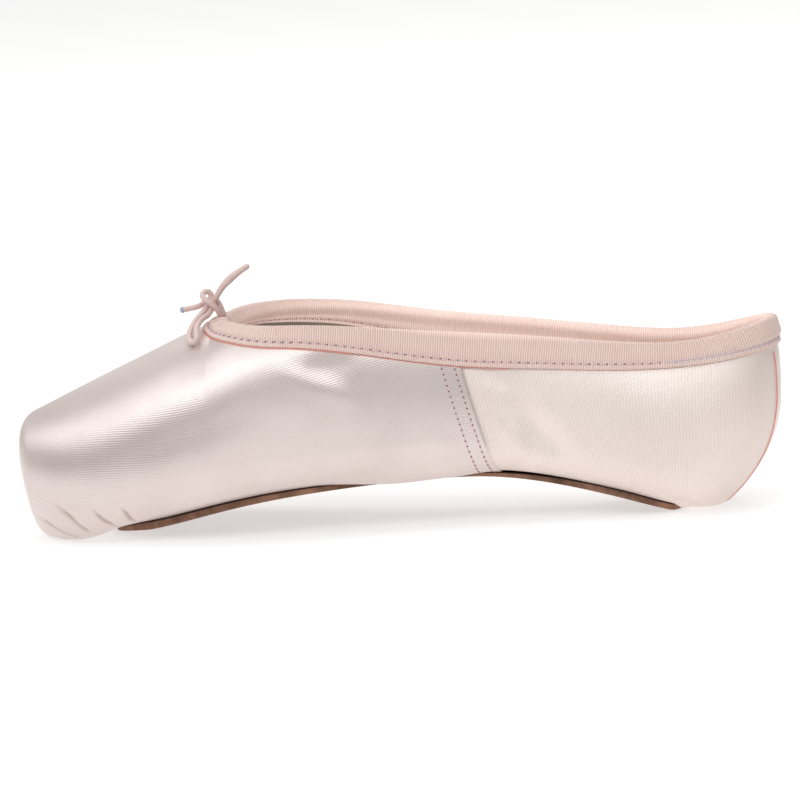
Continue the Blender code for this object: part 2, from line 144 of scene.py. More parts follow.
SECTION_COLUMNS = ("along", "half", "keel", "crown", "widest", "low_round", "top_round", "lean", "mouth", "wall")
SECTIONS = (
    (0.000, 0.553, -0.05, 0.575, 0.266, 2.7, 2.3, 0.16, 0.72, 1.00),
    (0.035, 0.680, -0.06, 0.630, 0.270, 3.2, 2.2, 0.13, 0.72, 1.00),
    (0.080, 0.792, -0.05, 0.708, 0.285, 3.4, 2.1, 0.06, 0.72, 1.00),
    (0.125, 0.875, 0.16, 0.788, 0.310, 3.3, 2.1, 0.00, 0.72, 1.00),
    (0.190, 0.955, 0.37, 0.893, 0.350, 3.1, 2.2, 0.00, 0.72, 0.95),
    (0.270, 1.000, 0.65, 1.000, 0.390, 3.0, 2.5, 0.00, 0.72, 0.75),
    (0.330, 0.975, 0.82, 1.003, 0.420, 2.9, 2.9, 0.05, 0.73, 0.60),
    (0.420, 0.880, 0.95, 0.988, 0.440, 2.8, 3.0, 0.12, 0.77, 0.50),
    (0.520, 0.730, 1.00, 0.947, 0.450, 2.8, 2.6, 0.22, 0.80, 0.50),
    (0.600, 0.640, 1.00, 0.909, 0.440, 2.8, 2.3, 0.27, 0.79, 0.50),
    (0.700, 0.595, 0.77, 0.863, 0.400, 2.8, 2.2, 0.20, 0.74, 0.50),
    (0.800, 0.615, 0.36, 0.812, 0.350, 2.9, 2.2, 0.08, 0.65, 0.50),
    (0.875, 0.640, 0.08, 0.797, 0.340, 3.2, 2.2, 0.00, 0.59, 0.50),
    (1.000, 0.645, 0.05, 0.865, 0.360, 3.4, 2.2, 0.00, 0.70, 0.50),
)


class Table:
    """Rows of sizes read between their places by a natural cubic spline, so that no row shows."""

    def __init__(self, rows):
        rows = np.array(rows)
        self.places = rows[:, 0]
        self.values = rows[:, 1:]
        gaps = np.diff(self.places)
        slopes = np.diff(self.values, axis=0) / gaps[:, None]
        system = np.eye(len(rows))
        known = np.zeros_like(self.values)
        for i in range(1, len(rows) - 1):
            system[i, i - 1 : i + 2] = (gaps[i - 1], 2 * (gaps[i - 1] + gaps[i]), gaps[i])
            known[i] = 6 * (slopes[i] - slopes[i - 1])
        self.bends = np.linalg.solve(system, known)

    def at(self, place):
        place = min(max(place, self.places[0]), self.places[-1])
        i = min(int(np.searchsorted(self.places, place, side="right")) - 1, len(self.places) - 2)
        gap = self.places[i + 1] - self.places[i]
        after = (place - self.places[i]) / gap
        before = 1 - after
        bend = (before**3 - before) * self.bends[i] + (after**3 - after) * self.bends[i + 1]
        return before * self.values[i] + after * self.values[i + 1] + bend * gap**2 / 6


SECTION_TABLE = Table(SECTIONS)
print(f"{len(SECTIONS)} sections over {SHOE_LENGTH * 1000:.0f} mm")

# %% [markdown]
# A section of the shoe is a soft box shape, part ellipse and part square. It could be drawn
# as a curve and lofted. A superellipse does the same with one exponent for the lower half and
# one for the upper, and the collar simply cuts the upper half short. The rings below are what
# every sheet is laid on.

# %% Rings of the outer surface


def section(place):
    """The sizes of the section at a distance from the toe, by the name of the table's column."""
    sizes = dict(zip(SECTION_COLUMNS[1:], SECTION_TABLE.at(place / SHOE_LENGTH)))
    sizes["half"] *= BALL_WIDTH / 2
    sizes["keel"] *= ARCH_RISE
    sizes["crown"] *= THROAT_HEIGHT
    sizes["widest"] *= THROAT_HEIGHT
    sizes["wall"] *= BOX_WALL
    heel_share = max((place - SHOE_LENGTH + HEEL_ROUND) / HEEL_ROUND, 0)
    end = dict(zip(SECTION_COLUMNS, SECTIONS[-1]))
    sizes["crown"] += (HEEL_HEIGHT - end["crown"] * THROAT_HEIGHT) * heel_share**2
    return sizes


def mouth_half(place, sizes):
    """Half width of the collar: nothing before the throat, then a round U, then along the sides."""
    opened = np.clip((place - THROAT_FRONT) / THROAT_ROUND, 0, 1)
    return sizes["mouth"] * math.sqrt(1 - (1 - opened) ** 2)


def heel_tuck(z):
    """How far the heel's back profile lies in front of its fullest point."""
    below = np.clip(1 - z / HEEL_BULGE_HEIGHT, 0, 1)
    above = np.clip((z - HEEL_BULGE_HEIGHT) / (HEEL_HEIGHT - HEEL_BULGE_HEIGHT), 0, 1.2)
    return HEEL_TUCK * below**HEEL_TUCK_POWER + HEEL_TOP_TUCK * above**2


def ring(station, points):
    """Points of half a section, from the underside's centre up to the crown or the collar."""
    place, size, turn = station
    at = section(place)
    top_share = mouth_half(place, at)
    rise = (at["crown"] - at["widest"]) / (1 - top_share ** at["top_round"]) ** (1 / at["top_round"])
    top_angle = math.acos(top_share ** (at["top_round"] / 2))
    low = np.linspace(math.pi / 2, 0, 160)
    high = np.linspace(0, top_angle, 160)[1:]
    y = np.concatenate([np.cos(low) ** (2 / at["low_round"]), np.cos(high) ** (2 / at["top_round"])])
    y[0] = 0
    drop = (at["widest"] - at["keel"]) * np.sin(low) ** (2 / at["low_round"])
    climb = rise * np.sin(high) ** (2 / at["top_round"])
    z = at["widest"] + np.concatenate([-drop, climb])
    y = y * at["half"] * size
    if place <= PLATFORM_ROUND:
        z = at["widest"] + (z - at["widest"]) * size
    x = place + at["lean"] * (THROAT_HEIGHT / 2 - z) - heel_tuck(z) * turn**2
    length = np.concatenate([[0], np.cumsum(np.hypot(np.hypot(np.diff(y), np.diff(z)), np.diff(x)))])
    even = np.linspace(0, length[-1], points)
    curve = np.stack([np.interp(even, length, axis) for axis in (x, y, z)], axis=1)
    curve[:, 0] -= SHOE_LENGTH / 2
    curve[:, 2] = np.maximum(curve[:, 2], 0)
    return curve


def stations(platform, box, throat, side, heel):
    """Stations from the platform's centre to the back seam, each a place, a size and a heel turn."""
    edge_share = PLATFORM_ROUND / (SECTIONS[0][1] * BALL_WIDTH / 2)
    found = [(0.0, share * (1 - edge_share), 0.0) for share in np.linspace(0, 1, platform + 1)[:-1]]
    for angle in np.linspace(0, math.pi / 2, platform + 1)[:-1]:
        found.append((PLATFORM_ROUND * (1 - math.cos(angle)), 1 - edge_share * (1 - math.sin(angle)), 0.0))
    found += [(place, 1.0, 0.0) for place in np.linspace(PLATFORM_ROUND, THROAT_FRONT, box + 1)[:-1]]
    for angle in np.linspace(0, math.pi / 2, throat + 1)[:-1]:
        found.append((THROAT_FRONT + THROAT_ROUND * (1 - math.cos(angle)), 1.0, 0.0))
    sides = np.linspace(THROAT_FRONT + THROAT_ROUND, SHOE_LENGTH - HEEL_ROUND, side + 1)[:-1]
    lap = int(np.argmin(abs(sides - SEAM_PLACE)))
    sides[lap], sides[lap + 1] = SEAM_PLACE, SEAM_PLACE + GAP
    found += [(place, 1.0, 0.0) for place in sides]
    for angle in np.linspace(0, math.pi / 2, heel + 1):
        turn = math.sin(angle)
        found.append((SHOE_LENGTH - HEEL_ROUND * (1 - turn), max(math.cos(angle), 0.0), turn))
    return found


class Skin:
    """Both halves of the rings at a set of stations: points, and how far each lies along and around."""

    def __init__(self, steps, points):
        self.stations = stations(*steps)
        half = np.array([ring(station, points) for station in self.stations])
        around = np.linalg.norm(np.diff(half, axis=1), axis=2).cumsum(axis=1)
        around = np.concatenate([np.zeros((len(half), 1)), around], axis=1)
        middle = half[:, points // 2]
        along = np.concatenate([[0], np.linalg.norm(np.diff(middle, axis=0), axis=1).cumsum()])
        self.points = np.concatenate([(half * (1, -1, 1))[:, ::-1], half[:, 1:]], axis=1)
        self.around = np.concatenate([-around[:, ::-1], around[:, 1:]], axis=1)
        self.along = np.repeat(along[:, None], self.points.shape[1], axis=1)
        self.place = np.repeat([[s[0]] for s in self.stations], self.points.shape[1], axis=1)
        self.height = abs(self.around) / around[:, -1:]

    def spot(self, place, height, side=-1):
        """The point at a place in metres and a share of the way up a side; side -1 is the near one."""
        row = int(np.argmin(abs(self.place[:, 0] - place) + (self.place[:, 0] < PLATFORM_ROUND) * (place > PLATFORM_ROUND)))
        half = self.points.shape[1] // 2
        return self.points[row, round(half + side * height * half)]


skin = Skin((7, 88, 22, 118, 34), 88)
print(f"skin of {skin.points.shape[0]} rings by {skin.points.shape[1]} points")

# %% [markdown]
# Every sheet starts as Blender's flat grid, whose vertices are then moved to their places,
# row by row. Its UV map is written in metres along and around the shoe, so a weave of real
# thread spacing follows the cloth round every bend. Sheets that meet themselves are welded.

# %% Laying a grid over the shoe and finishing a piece
WELD = 2e-6


def lay_grid(points, cloth):
    """A flat grid moved to rows of points, with its UV map in metres of cloth."""
    rows, columns = points.shape[:2]
    bm = bmesh.new()
    bmesh.ops.create_grid(bm, x_segments=rows - 1, y_segments=columns - 1, size=0.5)
    uv = bm.loops.layers.uv.new("cloth")
    cell = {}
    for vertex in bm.verts:
        row = round((vertex.co.x + 0.5) * (rows - 1))
        column = round((vertex.co.y + 0.5) * (columns - 1))
        cell[vertex] = (row, column)
        vertex.co = points[row, column]
    for face in bm.faces:
        for loop in face.loops:
            loop[uv].uv = cloth[cell[loop.vert]]
    return bm


def weld(bm):
    bmesh.ops.remove_doubles(bm, verts=bm.verts, dist=WELD)
    bmesh.ops.dissolve_degenerate(bm, edges=bm.edges, dist=WELD)


def finish_piece(name, bm, materials, slot, *nodes):
    """Makes the object with its materials, and says what it rides on and which solids it stands for; the slot is not
    used.
    """
    mesh = bpy.data.meshes.new(name)
    bm.to_mesh(mesh)
    bm.free()
    for material in materials:
        mesh.materials.append(material)
    mesh.shade_smooth()
    piece = bpy.data.objects.new(name, mesh)
    bpy.context.scene.collection.objects.link(piece)
    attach(piece, "root")
    if nodes:
        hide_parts(*nodes)
    print(f"{name}: {len(mesh.polygons)} faces")
    return piece


# %% [markdown]
# Cloth is laid at a height over the surface, so a helper finds the nearest point of the plain
# form and the direction straight out of it. A tree of triangles answers that in no time, and
# the directions are blended across each triangle, or a thin sole would ripple.

# %% The plain form, for nearest points and directions


class Form:
    """The whole outer surface, closed underneath, for finding places and normals on it."""

    def __init__(self, source):
        bm = lay_grid(source.points, np.dstack([source.along, source.around]))
        weld(bm)
        bmesh.ops.triangulate(bm, faces=bm.faces)
        bmesh.ops.recalc_face_normals(bm, faces=bm.faces)
        bm.normal_update()
        self.points = [vertex.co.copy() for vertex in bm.verts]
        self.normals = [vertex.normal.copy() for vertex in bm.verts]
        bm.verts.index_update()
        self.faces = [[vertex.index for vertex in face.verts] for face in bm.faces]
        self.tree = BVHTree.FromPolygons(self.points, self.faces)
        bm.free()

    def smooth_normal(self, location, face):
        a, b, c = self.faces[face]
        corners = (self.points[a], self.points[b], self.points[c])
        return barycentric_transform(
            location, *corners, self.normals[a], self.normals[b], self.normals[c]
        ).normalized()

    def nearest(self, point):
        location, _, face, _ = self.tree.find_nearest(Vector(point))
        return location, self.smooth_normal(location, face)

    def underside(self, x, y):
        """The lowest point of the surface over a place on the floor, and the normal there."""
        location, _, face, _ = self.tree.ray_cast(Vector((x, y, -THROAT_HEIGHT)), Vector((0, 0, 1)))
        return location, self.smooth_normal(location, face)


form = Form(Skin((4, 40, 18, 50, 18), 70))
print(f"form of {len(form.faces)} triangles")

# %% [markdown]
# Materials are built from nodes. One helper adds a node with its settings and links, and one
# turns a screen colour into the linear one that Blender works with. The cloths share a simple
# trick: a wave across the UV map, whose wavelength is the real thread spacing.

# %% Helpers for materials
WAVE_LENGTH = math.pi / 10


def linear(code):
    """A screen colour such as #E6D9D7 as linear red, green, blue and full alpha."""
    shares = [int(code[i : i + 2], 16) / 255 for i in (1, 3, 5)]
    return (*[c / 12.92 if c <= 0.04045 else ((c + 0.055) / 1.055) ** 2.4 for c in shares], 1)


def add(tree, kind, sockets=None, **settings):
    """Adds a node. Each socket is given a value, or another node's output to link."""
    node = tree.nodes.new("ShaderNode" + kind)
    for key, value in settings.items():
        setattr(node, key, value)
    for key, value in (sockets or {}).items():
        if isinstance(value, bpy.types.NodeSocket):
            tree.links.new(value, node.inputs[key])
        else:
            node.inputs[key].default_value = value
    return node


def start_material(name, **values):
    """A new material's node tree and its Principled shader, with plain values on its sockets."""
    material = bpy.data.materials.new(name)
    material.use_nodes = True
    shader = material.node_tree.nodes["Principled BSDF"]
    for key, value in values.items():
        shader.inputs[key.replace("_", " ")].default_value = value
    return material, material.node_tree, shader


def plug(tree, shader, **links):
    for key, output in links.items():
        tree.links.new(output, shader.inputs[key.replace("_", " ")])


print("colour check, mid grey:", round(linear("#808080")[0], 3))

# %% [markdown]
# Pointe satin is a polyester or rayon satin: long shiny threads float over a fine weave, so
# light slides along the cloth and breaks into soft pearly bands. A smooth plastic would shine
# too sharply and a plain cloth not at all. The shader is anisotropic, with its direction
# taken from the UV map, and a fine rib of bump follows the threads. The real threads are about
# 0.1 mm apart. The rib is drawn at 0.75 mm, which is what the photograph resolves.
# The bottom of each tuck lies in shade, so a darker tint is mixed in there, by an attribute that is
# written while the folds are made.

# %% Satin
SATIN_RIB = 0.00075
BIAS_RIB = 0.00060
FLOAT_LENGTH = 0.00066


# The satin is painted greyer over the toe, a painted shade, between these places in metres from the object's middle
TOE_SHADE_FROM, TOE_SHADE_TO = -0.118, -0.045
TOE_SHADE_GREY = 0.93
TUCK_SHADE = "#A9877C"


def make_satin(name, rib, turn, spread, gloss, relief, contrast, light, deep):
    satin, tree, shader = start_material(
        name,
        Metallic=0.5,
        IOR=1.55,
        Specular_IOR_Level=1.0,
        Anisotropic=0.7,
        Anisotropic_Rotation=spread,
        Sheen_Weight=0.06,
        Sheen_Roughness=0.35,
    )
    shader.inputs["Sheen Tint"].default_value = linear("#FFF4F0")
    cloth = add(tree, "UVMap", uv_map="cloth")
    turned = add(tree, "Mapping", {"Vector": cloth.outputs["UV"], "Rotation": (0, 0, turn)})
    ribs = add(
        tree,
        "TexWave",
        {"Vector": turned.outputs["Vector"], "Scale": WAVE_LENGTH / rib, "Distortion": 0.6, "Detail": 1.0, "Detail Scale": 0.6},
        bands_direction="Y",
    )
    slubs = add(
        tree,
        "TexWave",
        {"Vector": turned.outputs["Vector"], "Scale": WAVE_LENGTH / FLOAT_LENGTH, "Distortion": 3.0, "Detail": 1.0, "Detail Scale": 1.4},
        bands_direction="DIAGONAL",
    )
    patches = add(tree, "TexNoise", {"Vector": cloth.outputs["UV"], "Scale": 38.0, "Detail": 2.0})
    tone = add(tree, "MapRange", {"Value": patches.outputs["Fac"], "From Min": 0.3, "From Max": 0.7})
    colour = add(tree, "MixRGB", {"Fac": tone.outputs["Result"], "Color1": linear(light), "Color2": linear(deep)})
    spot = add(tree, "TexCoord")
    place = add(tree, "SeparateXYZ", {"Vector": spot.outputs["Object"]})
    # Painted shade: the satin's colour is greyed towards the toe
    toe_shade = add(
        tree,
        "MapRange",
        {"Value": place.outputs["X"], "From Min": TOE_SHADE_FROM, "From Max": TOE_SHADE_TO, "To Min": TOE_SHADE_GREY, "To Max": 1.0},
    )
    toe_shaded = add(
        tree, "MixRGB", {"Fac": 1.0, "Color1": colour.outputs["Color"], "Color2": toe_shade.outputs["Result"]}, blend_type="MULTIPLY"
    )
    thread = add(tree, "Math", {0: slubs.outputs["Fac"], 1: ribs.outputs["Fac"]}, operation="ADD")
    fleck = add(
        tree,
        "MapRange",
        {"Value": thread.outputs["Value"], "From Min": 0.3, "From Max": 1.7, "To Min": 1 - contrast, "To Max": 1 + contrast / 2},
    )
    flecked = add(
        tree,
        "MixRGB",
        {"Fac": 1.0, "Color1": toe_shaded.outputs["Color"], "Color2": fleck.outputs["Result"]},
        blend_type="MULTIPLY",
    )
    tuck = add(tree, "Attribute", attribute_name="tuck")
    # Painted shade: the pleats' troughs are tinted darker by the tuck attribute
    tuck_shaded = add(tree, "MixRGB", {"Fac": tuck.outputs["Fac"], "Color1": flecked.outputs["Color"], "Color2": linear(TUCK_SHADE)})
    shine = add(tree, "MapRange", {"Value": slubs.outputs["Fac"], "To Min": gloss - 0.045, "To Max": gloss + 0.045})
    bump = add(tree, "Bump", {"Height": ribs.outputs["Fac"], "Strength": relief, "Distance": 0.00009})
    tangent = add(tree, "Tangent", direction_type="UV_MAP", uv_map="cloth")
    plug(
        tree,
        shader,
        Base_Color=tuck_shaded.outputs["Color"],
        Roughness=shine.outputs["Result"],
        Normal=bump.outputs["Normal"],
        Tangent=tangent.outputs["Tangent"],
    )
    return satin


vamp_satin = make_satin("satin_vamp", SATIN_RIB, 0.0, 0.0, 0.33, 0.22, 0.075, "#ECDDD8", "#E4D3CE")
quarter_satin = make_satin("satin_quarter", BIAS_RIB, math.radians(45), 0.2, 0.36, 0.5, 0.12, "#F8E8E1", "#F3E2D9")
print("materials:", vamp_satin.name, quarter_satin.name)

# %% [markdown]
# The lining is unbleached cotton canvas, a plain weave of thick over-and-under threads. Two
# waves at right angles, multiplied, make its little squares.

# %% Canvas lining
CANVAS_THREAD = 0.0009


def make_canvas(name, light, deep, thread):
    canvas, tree, shader = start_material(name, Metallic=0.0, Roughness=0.9, Sheen_Weight=0.15)
    cloth = add(tree, "UVMap", uv_map="cloth")
    warp = add(tree, "TexWave", {"Vector": cloth.outputs["UV"], "Scale": WAVE_LENGTH / thread, "Distortion": 0.8}, bands_direction="X")
    weft = add(tree, "TexWave", {"Vector": cloth.outputs["UV"], "Scale": WAVE_LENGTH / thread, "Distortion": 0.8}, bands_direction="Y")
    weave = add(tree, "Math", {0: warp.outputs["Fac"], 1: weft.outputs["Fac"]}, operation="MULTIPLY")
    stains = add(tree, "TexNoise", {"Vector": cloth.outputs["UV"], "Scale": 60.0, "Detail": 4.0})
    tone = add(tree, "Math", {0: weave.outputs["Value"], 1: stains.outputs["Fac"]}, operation="MULTIPLY")
    colour = add(tree, "MixRGB", {"Fac": tone.outputs["Value"], "Color1": linear(light), "Color2": linear(deep)})
    bump = add(tree, "Bump", {"Height": weave.outputs["Value"], "Strength": 0.6, "Distance": 0.00015})
    plug(tree, shader, Base_Color=colour.outputs["Color"], Normal=bump.outputs["Normal"])
    return canvas


lining_canvas = make_canvas("cotton_canvas", "#D6D5CE", "#BDBDB4", CANVAS_THREAD)
print("materials:", lining_canvas.name)

# %% [markdown]
# The collar tape is grosgrain, a ribbon with stout cross ribs. Its ribs stand across the
# tape, so they are bands along the first UV axis, one every 0.72 mm, with finer threads
# running the other way.
# The flap inside the collar is given a faint emission, painted light that brightens it as light through the thin tape
# would.

# %% Grosgrain
TAPE_RIB = 0.00072
INNER_PAINTED_LIGHT = 0.36


def make_grosgrain():
    grosgrain, tree, shader = start_material(
        "grosgrain_tape", Metallic=0.0, Roughness=0.6, Specular_IOR_Level=0.35, Sheen_Weight=0.3, Sheen_Roughness=0.4
    )
    cloth = add(tree, "UVMap", uv_map="cloth")
    ribs = add(
        tree,
        "TexWave",
        {"Vector": cloth.outputs["UV"], "Scale": WAVE_LENGTH / TAPE_RIB, "Distortion": 0.9, "Detail": 1.5, "Detail Scale": 0.4},
        bands_direction="X",
    )
    patches = add(tree, "TexNoise", {"Vector": cloth.outputs["UV"], "Scale": 90.0, "Detail": 3.0})
    tone = add(tree, "MixRGB", {"Fac": patches.outputs["Fac"], "Color1": linear("#F9DDD2"), "Color2": linear("#F1CEC3")})
    shade = add(tree, "MapRange", {"Value": ribs.outputs["Fac"], "To Min": 0.80, "To Max": 1.10})
    colour = add(
        tree,
        "MixRGB",
        {"Fac": 1.0, "Color1": tone.outputs["Color"], "Color2": shade.outputs["Result"]},
        blend_type="MULTIPLY",
    )
    bump = add(tree, "Bump", {"Height": ribs.outputs["Fac"], "Strength": 0.9, "Distance": 0.00022})
    across = add(tree, "SeparateXYZ", {"Vector": cloth.outputs["UV"]})
    # Painted light: the inner flap glows with its own colour
    inner = add(tree, "MapRange", {"Value": across.outputs["Y"], "From Min": 0.0095, "From Max": 0.0125, "To Max": INNER_PAINTED_LIGHT})
    plug(
        tree,
        shader,
        Base_Color=colour.outputs["Color"],
        Normal=bump.outputs["Normal"],
        Emission_Color=colour.outputs["Color"],
        Emission_Strength=inner.outputs["Result"],
    )
    return grosgrain


grosgrain = make_grosgrain()
print("materials:", grosgrain.name)

# %% [markdown]
# The sole is vegetable-tanned leather with a buffed, fibrous face. Leather is never one
# brown: it is blotched in patches of a few millimetres and grained in tenths of one. The top
# of its edge is darker, partly dye and partly painted shade where the satin meets it.

# %% Sole leather


def make_leather(name, light, deep, roughness):
    leather, tree, shader = start_material(name, Metallic=0.0, Specular_IOR_Level=0.35)
    spot = add(tree, "TexCoord")
    blotches = add(tree, "TexNoise", {"Vector": spot.outputs["Object"], "Scale": 90.0, "Detail": 5.0, "Roughness": 0.6})
    grain = add(tree, "TexNoise", {"Vector": spot.outputs["Object"], "Scale": 2600.0, "Detail": 3.0})
    tone = add(tree, "MapRange", {"Value": blotches.outputs["Fac"], "From Min": 0.35, "From Max": 0.65})
    colour = add(tree, "MixRGB", {"Fac": tone.outputs["Result"], "Color1": linear(light), "Color2": linear(deep)})
    gloss = add(tree, "MapRange", {"Value": grain.outputs["Fac"], "To Min": roughness - 0.1, "To Max": roughness + 0.1})
    bump = add(tree, "Bump", {"Height": grain.outputs["Fac"], "Strength": 0.9, "Distance": 0.0003})
    plug(tree, shader, Base_Color=colour.outputs["Color"], Roughness=gloss.outputs["Result"], Normal=bump.outputs["Normal"])
    return leather


sole_leather = make_leather("leather_buffed", "#A37A62", "#5F4232", 0.75)
edge_dye_and_shade_leather = make_leather("leather_dyed_and_shaded_edge", "#5E4034", "#3F2B23", 0.6)
print("materials:", sole_leather.name, edge_dye_and_shade_leather.name)

# %% [markdown]
# The drawstring is a thin round elastic with a braided cover. Its braid crosses itself in
# fine diagonals, so two waves are turned either way across the cord's own UV map.

# %% Braided elastic, and sewing threads
BRAID_PITCH = 0.0006


def make_braid(name, light, deep):
    braid, tree, shader = start_material(name, Metallic=0.0, Roughness=0.5, Sheen_Weight=0.3)
    cloth = add(tree, "UVMap", uv_map="cloth")
    waves = []
    for turn in (30, -30):
        turned = add(tree, "Mapping", {"Vector": cloth.outputs["UV"], "Rotation": (0, 0, math.radians(turn))})
        wave = add(tree, "TexWave", {"Vector": turned.outputs["Vector"], "Scale": WAVE_LENGTH / BRAID_PITCH}, bands_direction="Y")
        waves.append(wave.outputs["Fac"])
    weave = add(tree, "Math", {0: waves[0], 1: waves[1]}, operation="MAXIMUM")
    colour = add(tree, "MixRGB", {"Fac": weave.outputs["Value"], "Color1": linear(deep), "Color2": linear(light)})
    bump = add(tree, "Bump", {"Height": weave.outputs["Value"], "Strength": 0.5, "Distance": 0.00012})
    plug(tree, shader, Base_Color=colour.outputs["Color"], Normal=bump.outputs["Normal"])
    return braid


def make_thread(name, light, deep):
    """A twisted polyester thread: two close shades, mixed at the pitch of its twist."""
    thread, tree, shader = start_material(name, Metallic=0.0, Roughness=0.45)
    spot = add(tree, "TexCoord")
    twist = add(tree, "TexNoise", {"Vector": spot.outputs["Object"], "Scale": 3000.0})
    colour = add(tree, "MixRGB", {"Fac": twist.outputs["Fac"], "Color1": linear(light), "Color2": linear(deep)})
    plug(tree, shader, Base_Color=colour.outputs["Color"])
    return thread


elastic = make_braid("braided_elastic", "#E9CFC8", "#C9A7A2")
cut_end = make_thread("sealed_cord_tip", "#B9C2D2", "#8E9AB2")
pale_thread = make_thread("thread_lilac", "#EBDFE6", "#CDB9C6")
# Painted shade: the dark red grains stand for the shade in the needle holes
hole_shade = make_thread("needle_hole_shade", "#A54650", "#7C3038")
coral_thread = make_thread("thread_coral", "#F0A193", "#E08A7C")
print("materials:", elastic.name, pale_thread.name, hole_shade.name, coral_thread.name)

# %% [markdown]
# The drawstring runs round inside the tape and comes out at the throat, where it is tied.
# Its free part lies where the solid model has it, along the same listed points. A real
# knot is one cord wound round itself, so it is made that way: one long cord climbs out, makes
# a turn, hangs down as a loop and leaves as the upright end, and the other end crosses it.

# %% Where the drawstring comes out
CASING_LIFT = 0.0010
BINDING_TAPE = 0.0006
FACET_GAP = 0.0007


def wall_at(place):
    return float(section(place)["wall"])


def collar_edge(spacing):
    """The upper's top edge on the far side, from the throat's centre to the back, evenly spaced."""
    fine = stations(2, 40, 60, 90, 50)
    edge = np.array([ring(station, 30)[-1] for station in fine if station[0] >= THROAT_FRONT])
    length = np.concatenate([[0], np.linalg.norm(np.diff(edge, axis=0), axis=1).cumsum()])
    even = np.linspace(0, length[-1], round(length[-1] / spacing) + 1)
    return even, np.stack([np.interp(even, length, axis) for axis in edge.T], axis=1)


def collar_frames(spacing):
    """Each place of the collar's edge with its length from the throat, out and down directions."""
    lengths, edge = collar_edge(spacing)
    edge = [Vector(point) for point in edge]
    ahead = edge[1:] + [Vector((edge[-2].x, -edge[-2].y, edge[-2].z))]
    behind = [Vector((edge[1].x, -edge[1].y, edge[1].z))] + edge[:-1]
    frames = []
    for length, point, before, after in zip(lengths, edge, behind, ahead):
        _, out = form.nearest(point)
        down = (after - before).cross(out).normalized()
        if down.z > 0:
            down = -down
        frames.append((length, point, out, down))
    return frames


def fold_point(point, out, down, angle, swell=0.0):
    """A point of the tape's fold over the edge, by its angle from the outer flap."""
    wall = wall_at(point[0] + SHOE_LENGTH / 2)
    radius = wall / 2 + FACET_GAP + BINDING_TAPE + swell
    middle = point - out * (wall / 2) - down * CASING_LIFT
    return middle + (out * math.cos(angle) - down * math.sin(angle)) * radius


frames = collar_frames(0.0005)
throat_exit = fold_point(*frames[0][1:], math.radians(12))
print("drawstring comes out at", tuple(round(v * 1000, 1) for v in throat_exit), "mm")

# %% [markdown]
# The free part of the drawstring is short and knotted: a stem leaves the casing, turns once round
# itself, hangs down in a narrow loop and comes back to the end that points up, and the other end
# points left. A rope simulation would hardly settle in a knot this small, so each stretch is a few
# points, measured from where the cord comes out, with one smooth curve through all of them. The
# solids follow the same points.

# %% The drawstring's routes, in metres from where it comes out: back, to the side and up
CORD_DIAMETER = 0.0018
STEM_ROUTE = (
    (-0.0002, -0.0003, 0.0004),
    (-0.0008, -0.0009, 0.0015),
    (-0.0011, -0.0016, 0.0026),
)
FIRST_TURN = (
    (-0.0021, -0.0023, 0.0042),
    (-0.0036, -0.0026, 0.0056),
    (-0.0051, -0.0022, 0.0067),
    (-0.0057, -0.0010, 0.0077),
    (-0.0051, 0.0002, 0.0084),
    (-0.0040, 0.0011, 0.0082),
    (-0.0033, 0.0013, 0.0068),
    (-0.0036, 0.0007, 0.0053),
    (-0.0043, -0.0003, 0.0043),
)
LOOP_ROUTE = (
    (-0.0051, -0.0014, 0.0032),
    (-0.0063, -0.0028, 0.0018),
    (-0.0078, -0.0049, 0.0001),
    (-0.0086, -0.0081, -0.0015),
    (-0.0086, -0.0132, -0.0029),
    (-0.0078, -0.0174, -0.0038),
    (-0.0062, -0.0194, -0.0042),
    (-0.0054, -0.0177, -0.0032),
    (-0.0061, -0.0131, -0.0009),
    (-0.0058, -0.0087, 0.0003),
    (-0.0050, -0.0050, 0.0011),
    (-0.0040, -0.0028, 0.0016),
    (-0.0032, -0.0014, 0.0029),
)
LAST_TURN = (
    (-0.0031, -0.0002, 0.0037),
    (-0.0024, 0.0000, 0.0051),
)
END_UP_ROUTE = (
    (-0.0015, -0.0003, 0.0066),
    (-0.0003, -0.0005, 0.0084),
    (0.0012, -0.0005, 0.0103),
    (0.0033, -0.0003, 0.0122),
    (0.0061, 0.0000, 0.0142),
    (0.0095, 0.0004, 0.0161),
)
SECOND_START = (
    (0.0004, 0.0008, 0.0003),
    (-0.0002, 0.0012, 0.0018),
    (-0.0008, 0.0015, 0.0034),
    (-0.0018, 0.0019, 0.0051),
    (-0.0034, 0.0027, 0.0058),
    (-0.0050, 0.0027, 0.0053),
)
END_LEFT_ROUTE = (
    (-0.0063, 0.0018, 0.0044),
    (-0.0078, 0.0009, 0.0038),
    (-0.0101, 0.0003, 0.0034),
    (-0.0130, 0.0000, 0.0030),
)


def smooth_route(points, spacing):
    """Points at an even spacing on a smooth curve through the route's own points."""
    points = np.array(points)
    padded = np.vstack([2 * points[0] - points[1], points, 2 * points[-1] - points[-2]])
    curve = []
    for i in range(1, len(padded) - 2):
        a, b, c, d = padded[i - 1 : i + 3]
        for t in np.linspace(0, 1, 16, endpoint=False):
            bend = (2 * a - 5 * b + 4 * c - d) * t**2 + (3 * b - a - 3 * c + d) * t**3
            curve.append(0.5 * (2 * b + (c - a) * t + bend))
    curve = np.array(curve + [padded[-2]])
    length = np.concatenate([[0], np.linalg.norm(np.diff(curve, axis=0), axis=1).cumsum()])
    even = np.linspace(0, length[-1], max(3, round(length[-1] / spacing) + 1))
    return np.stack([np.interp(even, length, axis) for axis in curve.T], axis=1), float(length[-1])


# %% [markdown]
# A braided elastic is a tube with a pattern that runs round it. A curve with a round bevel makes
# the tube in one step, but a grid rolled round the route can also swell where the end is twisted,
# close in a rounded tip and carry a UV map in metres for the braid, so it is rolled.

# %% A cord as a grid rolled round its route
CORD_SIDES = 14
TWISTED_LENGTH = 0.014


